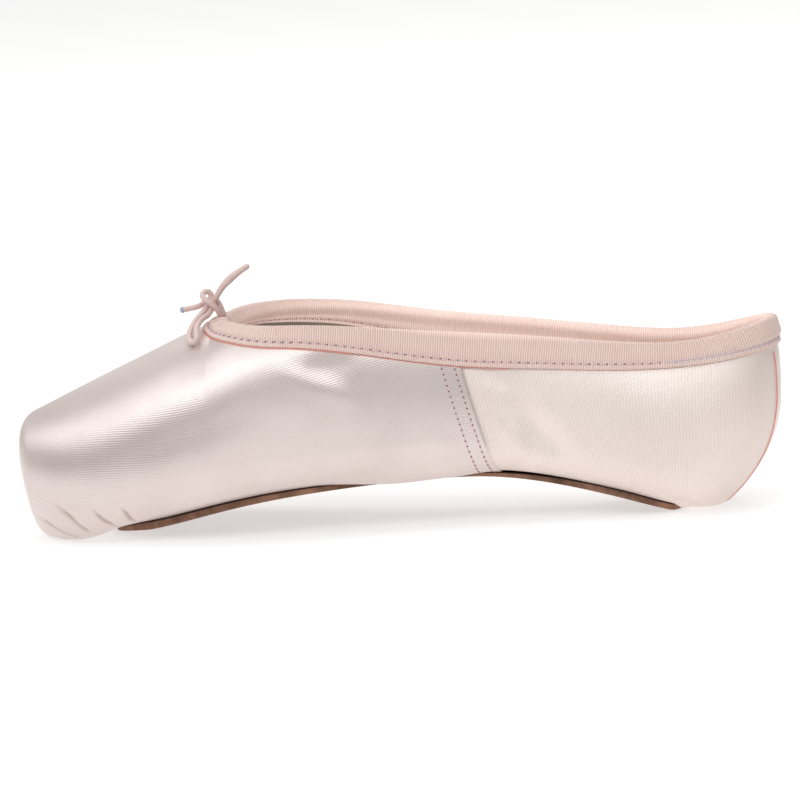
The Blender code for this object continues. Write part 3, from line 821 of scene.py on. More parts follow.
def roll_tube(route, radii, sides=CORD_SIDES):
    """A grid rolled into a tube round a route, its ends drawn in to a rounded tip."""
    ahead = np.gradient(route, axis=0)
    ahead /= np.linalg.norm(ahead, axis=1)[:, None]
    side = np.cross(ahead[0], (0, 0, 1)) if abs(ahead[0][2]) < 0.9 else np.cross(ahead[0], (1, 0, 0))
    along = np.concatenate([[0], np.linalg.norm(np.diff(route, axis=0), axis=1).cumsum()])
    angles = np.linspace(0, 2 * math.pi, sides + 1)
    rows = []
    cloth = []
    for point, direction, radius, length in zip(route, ahead, radii, along):
        side = side - direction * (side @ direction)
        side /= np.linalg.norm(side)
        across = np.cross(direction, side)
        rows.append([point + (side * math.cos(a) + across * math.sin(a)) * radius for a in angles])
        cloth.append([(length, a * CORD_DIAMETER / 2) for a in angles])
    bm = lay_grid(np.array(rows), np.array(cloth))
    weld(bm)
    bmesh.ops.holes_fill(bm, edges=[edge for edge in bm.edges if edge.is_boundary], sides=0)
    bmesh.ops.recalc_face_normals(bm, faces=bm.faces)
    return bm


def cord_radii(route, twisted=0.0):
    """The cord's radius at each point: thicker where its last stretch is twisted, nipped in at its ends."""
    radii = np.full(len(route), CORD_DIAMETER / 2)
    if twisted:
        left = np.arange(len(route))[::-1] * CORD_DIAMETER / 4
        radii *= 1 + 0.32 * np.exp(-(((left - twisted * 0.55) / (twisted * 0.28)) ** 2))
    radii[[0, -1]] *= 0.55
    radii[[1, -2]] *= 0.9
    return radii


def offset_route(*parts):
    route, length = smooth_route([point for part in parts for point in part], CORD_DIAMETER / 4)
    return route + np.array(throat_exit), length


long_route, long_length = offset_route(STEM_ROUTE, FIRST_TURN, LOOP_ROUTE, LAST_TURN, END_UP_ROUTE)
short_route, short_length = offset_route(SECOND_START, END_LEFT_ROUTE)
print(f"drawstring: {long_length * 1000:.0f} mm and {short_length * 1000:.0f} mm")

# %% [markdown]
# The drawstring is one elastic, but two stretches of it come out of the casing, so it is two
# pieces here. The long one has the cord's real length, and a little sleeve of hardened glue
# covers the short one's cut end.

# %% The two cords and the sealed tip
long_cord = finish_piece(
    "drawstring_long",
    roll_tube(long_route, cord_radii(long_route, TWISTED_LENGTH)),
    [elastic],
    "drawstring_elastic",
    "drawstring_stem",
    "drawstring_knot",
    "drawstring_loop",
    "drawstring_end_up",
)
short_cord = finish_piece(
    "drawstring_short",
    roll_tube(short_route, cord_radii(short_route)),
    [elastic],
    "drawstring_elastic",
    "drawstring_end_left",
)
TIP_LENGTH = 0.0012


def make_tip(route, length):
    """A little sleeve of hardened glue over a cord's cut end."""
    count = 5
    direction = (route[-1] - route[-4]) / np.linalg.norm(route[-1] - route[-4])
    points = np.array([route[-1] - direction * length * (0.7 - share) for share in np.linspace(0, 1, count)])
    return roll_tube(points, CORD_DIAMETER / 2 * np.array([1.02, 1.08, 1.08, 1.0, 0.6]))


cord_tip = finish_piece("drawstring_tip", make_tip(short_route, TIP_LENGTH), [cut_end], "drawstring_elastic")

# %% [markdown]
# The satin is pulled hard over the box and under the sole. There it has too much cloth, so
# it is folded into small pleats that fan out from the front of the sole. Other marks are
# softer: a crease under the throat, a slack diagonal on the quarter and tucks at the heel.
# They could be sculpted or simulated. They are few and their places are known, so each is a
# soft trough along a short line, given as places along the shoe and shares of the way up.

# %% Pleats and creases
# Each fold: its points as (share of the shoe's length, share of the way up the side), then
# its half width and depth as shares of the throat's height. A ridge has a negative depth.
PLEATS = (
    (((0.004, 0.400), (0.030, 0.345), (0.066, 0.285), (0.105, 0.150)), 0.010, 0.016),
    (((0.046, 0.450), (0.070, 0.395), (0.088, 0.325), (0.118, 0.190)), 0.010, 0.016),
    (((0.110, 0.400), (0.118, 0.355), (0.128, 0.305), (0.140, 0.220)), 0.009, 0.017),
    (((0.150, 0.385), (0.155, 0.345), (0.158, 0.295), (0.165, 0.240)), 0.009, 0.016),
    (((0.002, 0.250), (0.035, 0.200), (0.075, 0.130), (0.110, 0.080)), 0.011, 0.015),
    (((0.002, 0.110), (0.040, 0.080), (0.080, 0.045), (0.110, 0.025)), 0.011, 0.012),
)
# A pleat is a tuck: the cloth rises in a soft roll on the heel's side of its line
ROLL_BESIDE = 0.013
ROLL_WIDTH = 2.2
ROLL_HEIGHT = 0.55
CREASES = (
    (((0.385, 0.900), (0.432, 0.835), (0.500, 0.760)), 0.062, 0.009),
    (((0.366, 0.865), (0.410, 0.800), (0.480, 0.715)), 0.055, -0.005),
    (((0.415, 0.885), (0.490, 0.872)), 0.060, 0.010),
    (((0.664, 0.760), (0.700, 0.520), (0.738, 0.300)), 0.060, 0.030),
    (((0.645, 0.640), (0.660, 0.450), (0.662, 0.240)), 0.045, -0.018),
    (((0.638, 0.900), (0.664, 0.800), (0.710, 0.680)), 0.050, 0.010),
    (((0.850, 0.320), (0.872, 0.280), (0.905, 0.215)), 0.014, 0.010),
    (((0.862, 0.300), (0.888, 0.255), (0.915, 0.225)), 0.012, 0.009),
    (((0.862, 0.230), (0.869, 0.160), (0.872, 0.060)), 0.018, -0.016),
    (((0.110, 0.520), (0.210, 0.530), (0.300, 0.640), (0.352, 0.740)), 0.080, 0.006),
)


def fold_depth(points, line, width, depth):
    """How deep a soft trough along a line dips at each point, fading at the line's two ends."""
    nearest = np.full(len(points), np.inf)
    along = np.zeros(len(points))
    for i, (a, b) in enumerate(zip(line, line[1:])):
        step = b - a
        share = np.clip((points - a) @ step / (step @ step), 0, 1)
        gap = np.linalg.norm(points - a - share[:, None] * step, axis=1)
        closer = gap < nearest
        nearest[closer] = gap[closer]
        along[closer] = (i + share[closer]) / (len(line) - 1)
    fade = np.sin(math.pi * np.clip(along, 0, 1))
    return depth * THROAT_HEIGHT * fade * np.exp(-((nearest / (width * THROAT_HEIGHT)) ** 2))


def fold_line(line, side, aside=0.0):
    return np.array([skin.spot((place + aside) * SHOE_LENGTH, height, side) for place, height in line])


def tucks_at(points):
    """The depth of the pleats' narrow troughs at each point, both sides alike."""
    return sum(fold_depth(points, fold_line(line, side), width, depth) for side in (-1, 1) for line, width, depth in PLEATS)


def folds_at(points):
    """The depth of all the folds at each point, both sides alike."""
    total = tucks_at(points)
    for side in (-1, 1):
        for line, width, depth in PLEATS:
            total -= fold_depth(points, fold_line(line, side, ROLL_BESIDE), width * ROLL_WIDTH, depth * ROLL_HEIGHT)
        for line, width, depth in CREASES:
            total += fold_depth(points, fold_line(line, side), width, depth)
    return total


print(f"{len(PLEATS)} pleats and {len(CREASES)} creases on each side")

# %% [markdown]
# Two shapes are broader. Under the arch the vamp's satin bellies out below the edge of the
# sole and hides it, and ends at the side seam, where the quarter is pulled tight. At that
# seam the vamp laps over the quarter, which is a small step down in the cloth.

# %% The belly beside the sole and the lap of the side seam
BELLY_FROM, BELLY_TO = 0.092, 0.149
BELLY_RISE, BELLY_FALL = 0.030, 0.014
BELLY_DROP = 0.0024
BELLY_SIDE = 0.0212
BELLY_HALF = 0.0058
BELLY_TOP = 0.0235


def smooth_step(value):
    value = np.clip(value, 0, 1)
    return value * value * (3 - 2 * value)


def belly_at(place, points):
    """How far the satin bellies out beside the sole."""
    length = smooth_step((place - BELLY_FROM) / BELLY_RISE) * smooth_step((BELLY_TO - place) / BELLY_FALL)
    across = np.exp(-(((abs(points[:, 1]) - BELLY_SIDE) / BELLY_HALF) ** 2))
    low = smooth_step((BELLY_TOP - points[:, 2]) / (BELLY_TOP / 3))
    return BELLY_DROP * length * across * low


def lap_at(place):
    """How far the quarter lies under the vamp's edge, before it comes out again."""
    behind = smooth_step((place - SEAM_PLACE) / SEAM_FADE)
    return np.where(place > SEAM_PLACE + GAP / 2, SEAM_STEP * (1 - behind), 0)


# %% [markdown]
# The upper is one shell: satin outside, canvas inside, joined round the collar under the
# tape. The outer sheet is welded first, so that it can be moved along its own smooth normals
# with nothing opening at the toe or the back seam. Each vertex carries its place as a number.

# %% The upper
PLATFORM_BIAS = 0.6


def cloth_map(source):
    """UV places in metres: along and around, and laid flat across the toe's platform."""
    cloth = np.dstack([source.along, source.around])
    flat = source.place < PLATFORM_ROUND * PLATFORM_BIAS
    flat[:, :] = flat[:, :1]
    cloth[flat] = np.stack([source.points[flat][:, 2], source.points[flat][:, 1]], axis=1)
    return cloth


def with_places(source):
    """The welded outer sheet of a skin, and each vertex's place along the shoe."""
    bm = lay_grid(source.points, cloth_map(source))
    layer = bm.verts.layers.float.new("place")
    rows, columns = source.points.shape[:2]
    bm.verts.ensure_lookup_table()
    places = source.place.ravel()
    grid_points = source.points.reshape(-1, 3).astype(np.float32).tolist()
    tree = {tuple(round(v, 7) for v in point): place for point, place in zip(grid_points, places)}
    for vertex in bm.verts:
        vertex[layer] = tree[tuple(round(v, 7) for v in vertex.co)]
    weld(bm)
    bmesh.ops.recalc_face_normals(bm, faces=bm.faces)
    bm.normal_update()
    bm.verts.ensure_lookup_table()
    return bm, layer


def move_out(bm, amounts):
    for vertex, amount in zip(bm.verts, amounts):
        vertex.co += vertex.normal * float(amount)
        vertex.co.z = max(vertex.co.z, 0)


# Depth at which a pleat's trough takes its full share of shade
TUCK_DEPTH = 0.0010
TUCK_TINT = 0.75


def build_upper():
    bm, layer = with_places(skin)
    places = np.array([vertex[layer] for vertex in bm.verts])
    points = np.array([vertex.co for vertex in bm.verts])
    move_out(bm, belly_at(places, points) - lap_at(places) - folds_at(points))
    # The painted shade of the pleats' troughs is written into the tuck attribute
    tuck = bm.verts.layers.float.new("tuck")
    for vertex, depth in zip(bm.verts, tucks_at(points)):
        vertex[tuck] = min(max(depth / TUCK_DEPTH, 0), 1) * TUCK_TINT
    for face in bm.faces:
        if min(vertex[layer] for vertex in face.verts) > SEAM_PLACE + GAP / 2:
            face.material_index = 1
    inner, inner_layer = with_places(Skin((4, 40, 22, 50, 20), 44))
    walls = np.array([wall_at(vertex[inner_layer]) for vertex in inner.verts])
    move_out(inner, -walls - folds_at(np.array([vertex.co for vertex in inner.verts])))
    bmesh.ops.reverse_faces(inner, faces=inner.faces)
    for face in inner.faces:
        face.material_index = 2
    lining = bpy.data.meshes.new("lining")
    inner.to_mesh(lining)
    inner.free()
    bm.from_mesh(lining)
    bpy.data.meshes.remove(lining)
    bmesh.ops.bridge_loops(bm, edges=[edge for edge in bm.edges if edge.is_boundary])
    return finish_piece("satin_upper", bm, [vamp_satin, quarter_satin, lining_canvas], "satin", "upper")


upper = build_upper()

# %% [markdown]
# The collar tape is folded over the raw edge of the upper and stitched through both flaps,
# and the drawstring inside puffs it up above the stitches. Its profile is a few points round
# the edge, smoothed by a spline, carried along the collar. At the tight bend of the throat
# the tape is gathered into small ridges.

# %% The collar tape
BINDING_DEPTH = 0.0070
STITCH_FROM_EDGE = 0.0017
TAPE_SIT = 0.0003
CASING_PUFF = 0.0008
INNER_HANG = 0.8
# Depth of the outer flap, as shares of the shoe's length and of the binding's depth
FLAP_DEPTHS = Table(
    ((0.25, 0.65), (0.33, 0.67), (0.42, 0.74), (0.50, 0.90), (0.60, 1.10), (0.70, 1.05), (0.80, 0.94), (0.90, 0.86), (1.0, 0.78))
)
GATHER_PITCH = 0.0016
GATHER_HEIGHT = 0.00016
GATHER_LENGTH = 0.030
TAPE_COLUMNS = 44


def flap_depth(point):
    return BINDING_DEPTH * float(FLAP_DEPTHS.at((point[0] + SHOE_LENGTH / 2) / SHOE_LENGTH)[0])


def spline_weights(count, fine):
    """How much of each profile point goes into each finer point of a smooth curve through them."""
    weights = np.zeros((fine, count))
    for row, place in enumerate(np.linspace(0, count - 1, fine)):
        i = min(int(place), count - 2)
        t = place - i
        shares = (-t + 2 * t**2 - t**3, 2 - 5 * t**2 + 3 * t**3, t + 4 * t**2 - 3 * t**3, -(t**2) + t**3)
        for offset, share in zip((-1, 0, 1, 2), shares):
            weights[row, min(max(i + offset, 0), count - 1)] += share / 2
    return weights


def tape_profile(length, point, out, down):
    """Points of the tape's outside round the collar's edge, from its outer to its inner flap."""
    depth = flap_depth(point)
    seam = depth - STITCH_FROM_EDGE
    wall = wall_at(point.x + SHOE_LENGTH / 2)
    lie = TAPE_SIT + BINDING_TAPE
    flap = ((depth, TAPE_SIT / 3), (depth, lie), (depth - 0.0009, lie + 0.0001), (seam, lie - 0.0002))
    casing = ((seam * 0.75, lie + CASING_PUFF * 0.75), (seam * 0.45, lie + CASING_PUFF), (seam * 0.12, lie + CASING_PUFF * 0.8))
    ridge = GATHER_HEIGHT * math.exp(-((length / GATHER_LENGTH) ** 2)) * math.sin(2 * math.pi * length / GATHER_PITCH)
    upright = Vector((down.x, down.y, 0)) * INNER_HANG
    outer = []
    inner = []
    for far, lift in flap + casing:
        raised = lift + (ridge if far < seam else 0)
        location, normal = form.nearest(point + down * far)
        outer.append(location + normal * raised)
        inner.append(location - normal * (wall + raised * 0.8) - upright * far)
    fold = [fold_point(point, out, down, math.radians(angle), CASING_PUFF * 0.35 + ridge) for angle in (25, 65, 115, 155)]
    return outer + fold + inner[::-1]


def build_tape():
    half = np.array([tape_profile(*frame) for frame in frames])
    half = spline_weights(half.shape[1], TAPE_COLUMNS) @ half
    half[[0, -1], :, 1] = 0
    across = np.linalg.norm(np.diff(half, axis=1), axis=2).cumsum(axis=1)
    across = np.concatenate([np.zeros((len(half), 1)), across], axis=1)
    lengths = np.repeat([[frame[0]] for frame in frames], TAPE_COLUMNS, axis=1)
    points = np.concatenate([(half * (1, -1, 1))[::-1], half[1:]])
    cloth = np.dstack([np.concatenate([-lengths[::-1], lengths[1:]]), np.concatenate([across[::-1], across[1:]])])
    bm = lay_grid(points, cloth)
    weld(bm)
    bmesh.ops.recalc_face_normals(bm, faces=bm.faces)
    bm.normal_update()
    bm.faces.ensure_lookup_table()
    face = bm.faces[0]
    _, normal = form.nearest(face.calc_center_median())
    if face.normal.dot(normal) < 0 and (face.calc_center_median() - form.nearest(face.calc_center_median())[0]).dot(normal) > 0:
        bmesh.ops.reverse_faces(bm, faces=bm.faces)
    return finish_piece("collar_tape", bm, [grosgrain], "grosgrain", "collar_binding")


tape = build_tape()

# %% [markdown]
# Stitches are tiny but the eye finds them at once, because they are even. Each is one small
# rounded grain of thread, and between two of them the needle left a hole, whose shade is painted
# as a small dark red grain. A grain repeated hundreds of times must be light, so it starts from
# the coarsest round ball.

# %% Stitches
STITCH_PITCH = 0.0027
# Shares of the collar from the throat: how far it is gathered, and where the row is sewn twice
GATHERS_TO = 0.22
DOUBLED_FROM = 0.80


def add_grain(bm, place, along, out, size):
    """A small grain lying along a direction on the cloth: size is its length, width and height."""
    along = Vector(along).normalized()
    out = Vector(out).normalized()
    side = out.cross(along).normalized()
    turn = Matrix((along, side, out)).transposed().to_4x4()
    scale = Matrix.Diagonal((*[value / 2 for value in size], 1))
    bmesh.ops.create_icosphere(bm, subdivisions=1, radius=1.0, matrix=Matrix.Translation(place) @ turn @ scale)


TAPE_STITCH = (0.0019, 0.0004, 0.0003)
TAPE_DENT = (0.0007, 0.0005, 0.0002)


def stitch_line(line, normals, thread, hole, pitch=STITCH_PITCH, stitch=TAPE_STITCH, dent=TAPE_DENT):
    """Grains of thread along a line of points, with a dark grain of painted shade for the needle hole between each two.
    """
    length = np.concatenate([[0], np.linalg.norm(np.diff(line, axis=0), axis=1).cumsum()])
    count = int(length[-1] / pitch)
    for i in range(count):
        for bm, share, size in ((thread, i + 0.5, stitch), (hole, i + 1.0, dent)):
            at = [np.interp(share * pitch, length, axis) for axis in line.T]
            out = [np.interp(share * pitch, length, axis) for axis in normals.T]
            ahead = [np.interp(share * pitch + pitch / 4, length, axis) for axis in line.T]
            if (Vector(ahead) - Vector(at)).length > WELD:
                add_grain(bm, Vector(at), Vector(ahead) - Vector(at), out, size)


def tape_stitch_line(side, aside=0.0, reach=(0, 1)):
    """The outer stitch row of the tape on one side, moved aside from its edge, over a share of the collar."""
    line = []
    normals = []
    for length, point, _, down in frames:
        if reach[0] <= length / frames[-1][0] <= reach[1]:
            seam = flap_depth(point) - STITCH_FROM_EDGE - aside
            location, normal = form.nearest(point + down * seam)
            line.append(location + normal * (TAPE_SIT + BINDING_TAPE - 0.0001))
            normals.append(normal)
    mirror = (1, side, 1)
    return np.array(line) * mirror, np.array(normals) * mirror


def inner_stitch_line(side):
    """The same row of stitches where it shows on the inner flap."""
    line = []
    normals = []
    for _, point, _, down in frames:
        seam = flap_depth(point) - STITCH_FROM_EDGE
        location, normal = form.nearest(point + down * seam)
        inside = location - normal * (wall_at(point.x + SHOE_LENGTH / 2) + (TAPE_SIT + BINDING_TAPE) * 0.8)
        line.append(inside - Vector((down.x, down.y, 0)) * INNER_HANG * seam - normal * 0.0002)
        normals.append(-normal)
    mirror = (1, side, 1)
    return np.array(line) * mirror, np.array(normals) * mirror


def build_tape_stitches():
    thread = bmesh.new()
    hole = bmesh.new()
    for side in (-1, 1):
        stitch_line(*tape_stitch_line(side, 0, (0, DOUBLED_FROM)), thread, hole)
        stitch_line(*tape_stitch_line(side, -0.00035, (0, GATHERS_TO)), thread, hole, stitch=(0.0021, 0.0007, 0.0003))
        for aside in (-0.0004, 0.0003):
            line = tape_stitch_line(side, aside, (DOUBLED_FROM, 1))
            stitch_line(*line, thread, hole, pitch=0.0019, stitch=(0.0021, 0.00055, 0.0005), dent=(0.0002, 0.0001, 0.0001))
        stitch_line(*inner_stitch_line(side), thread, hole)
    finish_piece("tape_stitches", thread, [pale_thread], "grosgrain")
    finish_piece("tape_needle_holes", hole, [hole_shade], "grosgrain")


build_tape_stitches()

# %% [markdown]
# Where the vamp laps over the quarter, two rows of short stitches hold it down. They follow the
# vamp's edge from under the tape to the sole, with a dark red grain of painted shade for the needle
# hole at each stitch, and the helper for the tape's rows lays them, only shorter and closer.

# %% The side seam's two rows
SEAM_ROWS = (0.0018, 0.0056)
SEAM_PITCH = 0.0018
SEAM_STITCH = (0.0011, 0.0004, 0.00025)
SEAM_DENT = (0.0007, 0.0006, 0.00035)


def seam_stitch_line(before, side):
    """A line down the vamp, some way in front of its edge, from under the tape to the sole."""
    row = int(np.argmin(abs(skin.place[:, 0] - (SEAM_PLACE - before))))
    half = skin.points.shape[1] // 2
    columns = [half + side * column for column in range(round(half * 0.16), round(half * 0.90))][::-1]
    line = skin.points[row, columns]
    line[:, 0] += (SEAM_PLACE - before) - skin.place[row, 0]
    normals = np.array([form.nearest(point)[1] for point in line])
    places = np.full(len(line), SEAM_PLACE - before)
    return line + normals * (belly_at(places, line)[:, None] + 0.00005), normals


def build_seam_stitches():
    thread = bmesh.new()
    hole = bmesh.new()
    for side in (-1, 1):
        for before in SEAM_ROWS:
            line = seam_stitch_line(before, side)
            stitch_line(*line, thread, hole, pitch=SEAM_PITCH, stitch=SEAM_STITCH, dent=SEAM_DENT)
    finish_piece("side_seam_stitches", thread, [pale_thread], "satin")
    finish_piece("side_seam_needle_holes", hole, [hole_shade], "satin")


build_seam_stitches()

# %% [markdown]
# A coral thread shows along the tape's lower edge by the throat and down the seam at the back
# of the heel. It is a thin tube along a line on the cloth, half sunk in it.

# %% Coral threads
PIPING_RADIUS = 0.00022
BACK_SEAM_ASIDE = 0.0058
# The tape's edge thread lies open as far as this from the throat, and sinks into the cloth beyond
EDGE_THREAD_TO = 0.063
BURIED_TO = 0.112


def roll_thread(line, radius):
    points, _ = smooth_route(line, 0.0010)
    radii = np.full(len(points), radius)
    radii[[0, -1]] = radius * 0.3
    return roll_tube(points, radii, sides=6)


def back_seam_line():
    """Down the middle of the heel's back, from under the tape to the floor."""
    half = skin.points.shape[1] // 2
    profile = skin.points[-1, half:]
    profile = profile[(profile[:, 2] < HEEL_HEIGHT * 0.87) & (profile[:, 2] > 0.0008)][::-3]
    found = [form.nearest(point - (0, BACK_SEAM_ASIDE, 0)) for point in profile]
    return np.array([location + normal * PIPING_RADIUS * 0.4 for location, normal in found])


def tape_edge_line(start, end):
    """Along the lower edge of the tape's outer flap, over a range of lengths from the throat."""
    edge = []
    for length, point, _, down in frames:
        if start <= length < end:
            location, normal = form.nearest(point + down * (flap_depth(point) + 0.0002))
            edge.append(location + normal * PIPING_RADIUS * 0.5)
    return np.array(edge)


def build_piping():
    for name, side in (("back_seam_thread", 1), ("back_seam_thread_far", -1)):
        line = back_seam_line() * (1, side, 1)
        finish_piece(name, roll_thread(line, PIPING_RADIUS), [coral_thread], "satin")
    edge = tape_edge_line(0, EDGE_THREAD_TO)
    line = np.concatenate([(edge * (1, -1, 1))[::-1], edge[1:]])[::4]
    finish_piece("tape_edge_thread", roll_thread(line, PIPING_RADIUS), [coral_thread], "grosgrain")
    for name, side in (("buried_edge_thread", 1), ("buried_edge_thread_far", -1)):
        line = (tape_edge_line(EDGE_THREAD_TO, BURIED_TO) * (1, side, 1))[::4]
        finish_piece(name, roll_thread(line, PIPING_RADIUS * 0.6), [coral_thread], "grosgrain")


build_piping()

# %% [markdown]
# The outsole is a long paddle of leather, skived thin at its nose. Each row of its grid goes
# across the underside, up the cut edge and back over the top, so the grid wraps round into a
# closed slab that follows the arch. The upper part of its edge is dark, partly dye and partly
# painted shade under the satin.

# %% The outsole
SOLE_FRONT = 0.027
SOLE_BACK = 0.031
SOLE_LENGTH = SHOE_LENGTH - SOLE_FRONT - SOLE_BACK
SOLE_WIDTH = 0.045
SOLE_THICKNESS = 0.0020
SOLE_NOSE_THICKNESS = 0.0009
SOLE_SKIVE = 0.014
SOLE_OUTLINE = (
    (0.00, 0.80),
    (0.126, 0.93),
    (0.231, 1.00),
    (0.40, 0.80),
    (0.577, 0.57),
    (0.735, 0.55),
    (0.89, 0.65),
    (1.00, 0.66),
)
# Thickness along the sole's length: the leather is thinned at the waist so that it bends
SOLE_THICKNESSES = (
    (0.00, 1.40),
    (0.16, 1.25),
    (0.36, 1.00),
    (0.50, 0.66),
    (0.64, 0.62),
    (0.80, 1.00),
    (1.00, 1.00),
)
SOLE_END_ROUNDS = (0.115, 0.085)


def outline_half(outline, ends, width, share):
    """Half width of a sole at a share of its length, closed by a round at each end."""
    front, back = ends
    round_front = math.sqrt(max(0.0, 1 - (1 - min(share / front, 1)) ** 2))
    round_back = math.sqrt(max(0.0, 1 - (1 - min((1 - share) / back, 1)) ** 2))
    return width / 2 * float(Table(outline).at(share)[0]) * round_front * round_back


def slab_row(x, half, low, high, across_steps):
    """One row round a slab: across its lower face, up its edge and back over its upper face."""
    sweep = [(side, 0.0) for side in np.linspace(-1, 1, across_steps)]
    sweep += [(1.0, share) for share in (0.15, 0.5, 0.85)]
    sweep += [(side, 1.0) for side in np.linspace(1, -1, across_steps)]
    sweep += [(-1.0, share) for share in (0.85, 0.5, 0.15)] + [(-1.0, 0.0)]
    row = []
    for side, share in sweep:
        location, normal = form.underside(x, half * side)
        lift = low + (high - low) * share
        bulge = 0.0002 * math.sin(math.pi * share) * side * min(half / 0.004, 1)
        point = location + normal * lift
        row.append((point.x, half * side + bulge, max(point.z, 0.0)))
    return row


def sole_thickness(x):
    """The sole's thickness, skived thin at its front edge under the pleats and thinner at the waist."""
    after = x + SHOE_LENGTH / 2 - SOLE_FRONT
    skived = min(max(after / SOLE_SKIVE, 0), 1)
    full = SOLE_NOSE_THICKNESS + (SOLE_THICKNESS - SOLE_NOSE_THICKNESS) * skived
    return full * float(Table(SOLE_THICKNESSES).at(after / SOLE_LENGTH)[0])


def build_sole():
    across = 25
    rows = []
    for share in (1 - np.cos(np.linspace(0, math.pi, 121))) / 2:
        x = SOLE_FRONT + share * SOLE_LENGTH - SHOE_LENGTH / 2
        half = outline_half(SOLE_OUTLINE, SOLE_END_ROUNDS, SOLE_WIDTH, float(share))
        rows.append(slab_row(x, half, GAP + sole_thickness(x), GAP, across))
    points = np.array(rows)
    bm = lay_grid(points, points[:, :, :2])
    weld(bm)
    bmesh.ops.recalc_face_normals(bm, faces=bm.faces)
    # Edge dye and painted shade: faces along the top of the edge, next to the satin, take the dark leather
    for face in bm.faces:
        middle = face.calc_center_median()
        location, _ = form.nearest(middle)
        if (middle - location).length < GAP + 0.25 * sole_thickness(middle.x):
            face.material_index = 1
    return finish_piece("leather_outsole", bm, [sole_leather, edge_dye_and_shade_leather], "sole_leather", "outsole")


outsole = build_sole()

# %% [markdown]
# Inside, a sock of thin canvas lies on the insole board. It is the same kind of slab, laid
# on the inner face of the wall, and it shows through the collar from above.

# %% The insole
INSOLE_FRONT = 0.015
INSOLE_BACK = 0.022
INSOLE_LENGTH = SHOE_LENGTH - INSOLE_FRONT - INSOLE_BACK
INSOLE_WIDTH = 0.056
INSOLE_THICKNESS = 0.0018
INSOLE_OUTLINE = (
    (0.00, 0.70),
    (0.10, 0.80),
    (0.25, 0.98),
    (0.42, 0.84),
    (0.60, 0.62),
    (0.75, 0.60),
    (0.90, 0.63),
    (1.00, 0.62),
)
INSOLE_END_ROUNDS = (0.13, 0.10)
sock_canvas = make_canvas("cotton_sock", "#D9CFC2", "#C0B3A4", CANVAS_THREAD * 1.2)


def build_insole():
    rows = []
    for share in (1 - np.cos(np.linspace(0, math.pi, 81))) / 2:
        x = INSOLE_FRONT + share * INSOLE_LENGTH - SHOE_LENGTH / 2
        half = outline_half(INSOLE_OUTLINE, INSOLE_END_ROUNDS, INSOLE_WIDTH, float(share))
        low = -(wall_at(x + SHOE_LENGTH / 2) + FACET_GAP)
        rows.append(slab_row(x, half, low, low - INSOLE_THICKNESS, 17))
    points = np.array(rows)
    bm = lay_grid(points, points[:, :, :2])
    weld(bm)
    bmesh.ops.recalc_face_normals(bm, faces=bm.faces)
    return finish_piece("canvas_sock", bm, [sock_canvas], "insole_canvas", "insole")


insole = build_insole()

# %% [markdown]
# The shoe stands on a plain pale floor in the soft light of a studio. Four lamps in an arc draw
# the long bright band along the vamp, one more hangs above and one stands behind. Two cards of
# grey felt beside the toe and the heel take light away there, as a photographer's flags do, and the
# opal floor glows a little, so that it stays pale round the shoe.

# %% Floor and light
FLOOR_SIDE = 8.0
FLOOR_GLOW = 0.58


def build_floor():
    floor_paint, tree, shader = start_material(
        "opal_floor", Metallic=0.0, Roughness=0.9, Emission_Color=linear("#FFFFFF"), Emission_Strength=FLOOR_GLOW
    )
    spot = add(tree, "TexCoord")
    mottle = add(tree, "TexNoise", {"Vector": spot.outputs["Object"], "Scale": 3.0, "Detail": 2.0})
    colour = add(tree, "MixRGB", {"Fac": mottle.outputs["Fac"], "Color1": linear("#BEBDBC"), "Color2": linear("#BAB9B8")})
    plug(tree, shader, Base_Color=colour.outputs["Color"])
    bm = bmesh.new()
    bmesh.ops.create_grid(bm, x_segments=1, y_segments=1, size=FLOOR_SIDE / 2)
    mesh = bpy.data.meshes.new("floor")
    bm.to_mesh(mesh)
    bm.free()
    mesh.materials.append(floor_paint)
    floor = bpy.data.objects.new("floor", mesh)
    bpy.context.scene.collection.objects.link(floor)


def towards(azimuth, elevation, distance):
    """A place seen from the shoe in a direction in degrees: azimuth 0 is in front, 90 at the heel."""
    turn, rise = math.radians(azimuth), math.radians(elevation)
    level = distance * math.cos(rise)
    return SHOE_MIDDLE + Vector((math.sin(turn) * level, -math.cos(turn) * level, distance * math.sin(rise)))


def facing_shoe(place):
    return (SHOE_MIDDLE - place).to_track_quat("-Z", "Y")


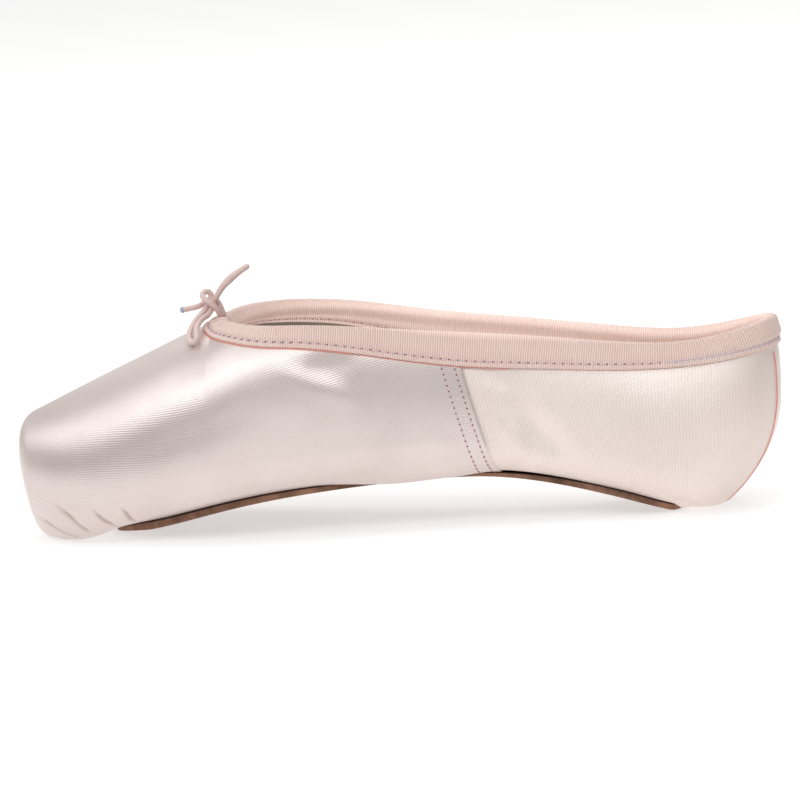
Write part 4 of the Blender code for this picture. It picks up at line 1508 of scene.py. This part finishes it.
def add_lamp(name, azimuth, elevation, power, width, height, colour="#FFFFFF"):
    """A soft rectangular lamp that faces the shoe."""
    data = bpy.data.lights.new(name, "AREA")
    data.color = linear(colour)[:3]
    data.shape = "RECTANGLE"
    data.size, data.size_y = width, height
    data.energy = power
    lamp = bpy.data.objects.new(name, data)
    bpy.context.scene.collection.objects.link(lamp)
    lamp.location = towards(azimuth, elevation, LAMP_DISTANCE)
    lamp.rotation_mode = "QUATERNION"
    lamp.rotation_quaternion = facing_shoe(lamp.location)


def make_felt():
    felt, tree, shader = start_material(
        "grey_felt", Metallic=0.0, Roughness=1.0, Emission_Color=linear("#FFFFFF"), Emission_Strength=0.09
    )
    shader.inputs["Base Color"].default_value = linear("#3A3836")
    return felt


def add_flag(name, azimuths, elevations, felt):
    """A dark card round part of the scene, outside the view, that the satin mirrors as a dark band."""
    bm = bmesh.new()
    bmesh.ops.create_grid(bm, x_segments=12, y_segments=1, size=0.5)
    for vertex in bm.verts:
        azimuth = azimuths[0] + (azimuths[1] - azimuths[0]) * (vertex.co.x + 0.5)
        elevation = elevations[0] + (elevations[1] - elevations[0]) * (vertex.co.y + 0.5)
        vertex.co = towards(azimuth, elevation, FLAG_DISTANCE)
    mesh = bpy.data.meshes.new(name)
    bm.to_mesh(mesh)
    bm.free()
    mesh.materials.append(felt)
    flag = bpy.data.objects.new(name, mesh)
    bpy.context.scene.collection.objects.link(flag)


LAMP_DISTANCE = 1.6
DAYLIGHT = "#F2FCFF"
ARC_LAMPS = ((-85, 2.0), (-45, 3.1), (-5, 2.6), (35, 2.8))
FLAG_DISTANCE = 2.4
FRONT_FLAG = ((-75, 10), (8, 22))
HEEL_FLAG = ((52, 130), (0, 60))


def light_scene():
    world = bpy.data.worlds.new("studio")
    bpy.context.scene.world = world
    world.use_nodes = True
    world.node_tree.nodes["Background"].inputs["Color"].default_value = linear("#FFFFFF")
    world.node_tree.nodes["Background"].inputs["Strength"].default_value = 0.55
    for azimuth, power in ARC_LAMPS:
        add_lamp(f"lamp_arc_{azimuth}", azimuth, 44, power, 0.9, 0.45, DAYLIGHT)
    add_lamp("lamp_top", 0, 86, 5, 0.9, 0.6)
    add_lamp("lamp_back", 180, 45, 6, 1.2, 0.5)
    felt = make_felt()
    add_flag("flag_front", *FRONT_FLAG, felt)
    add_flag("flag_heel", *HEEL_FLAG, felt)
    bpy.context.scene.view_settings.view_transform = "Standard"


build_floor()
light_scene()
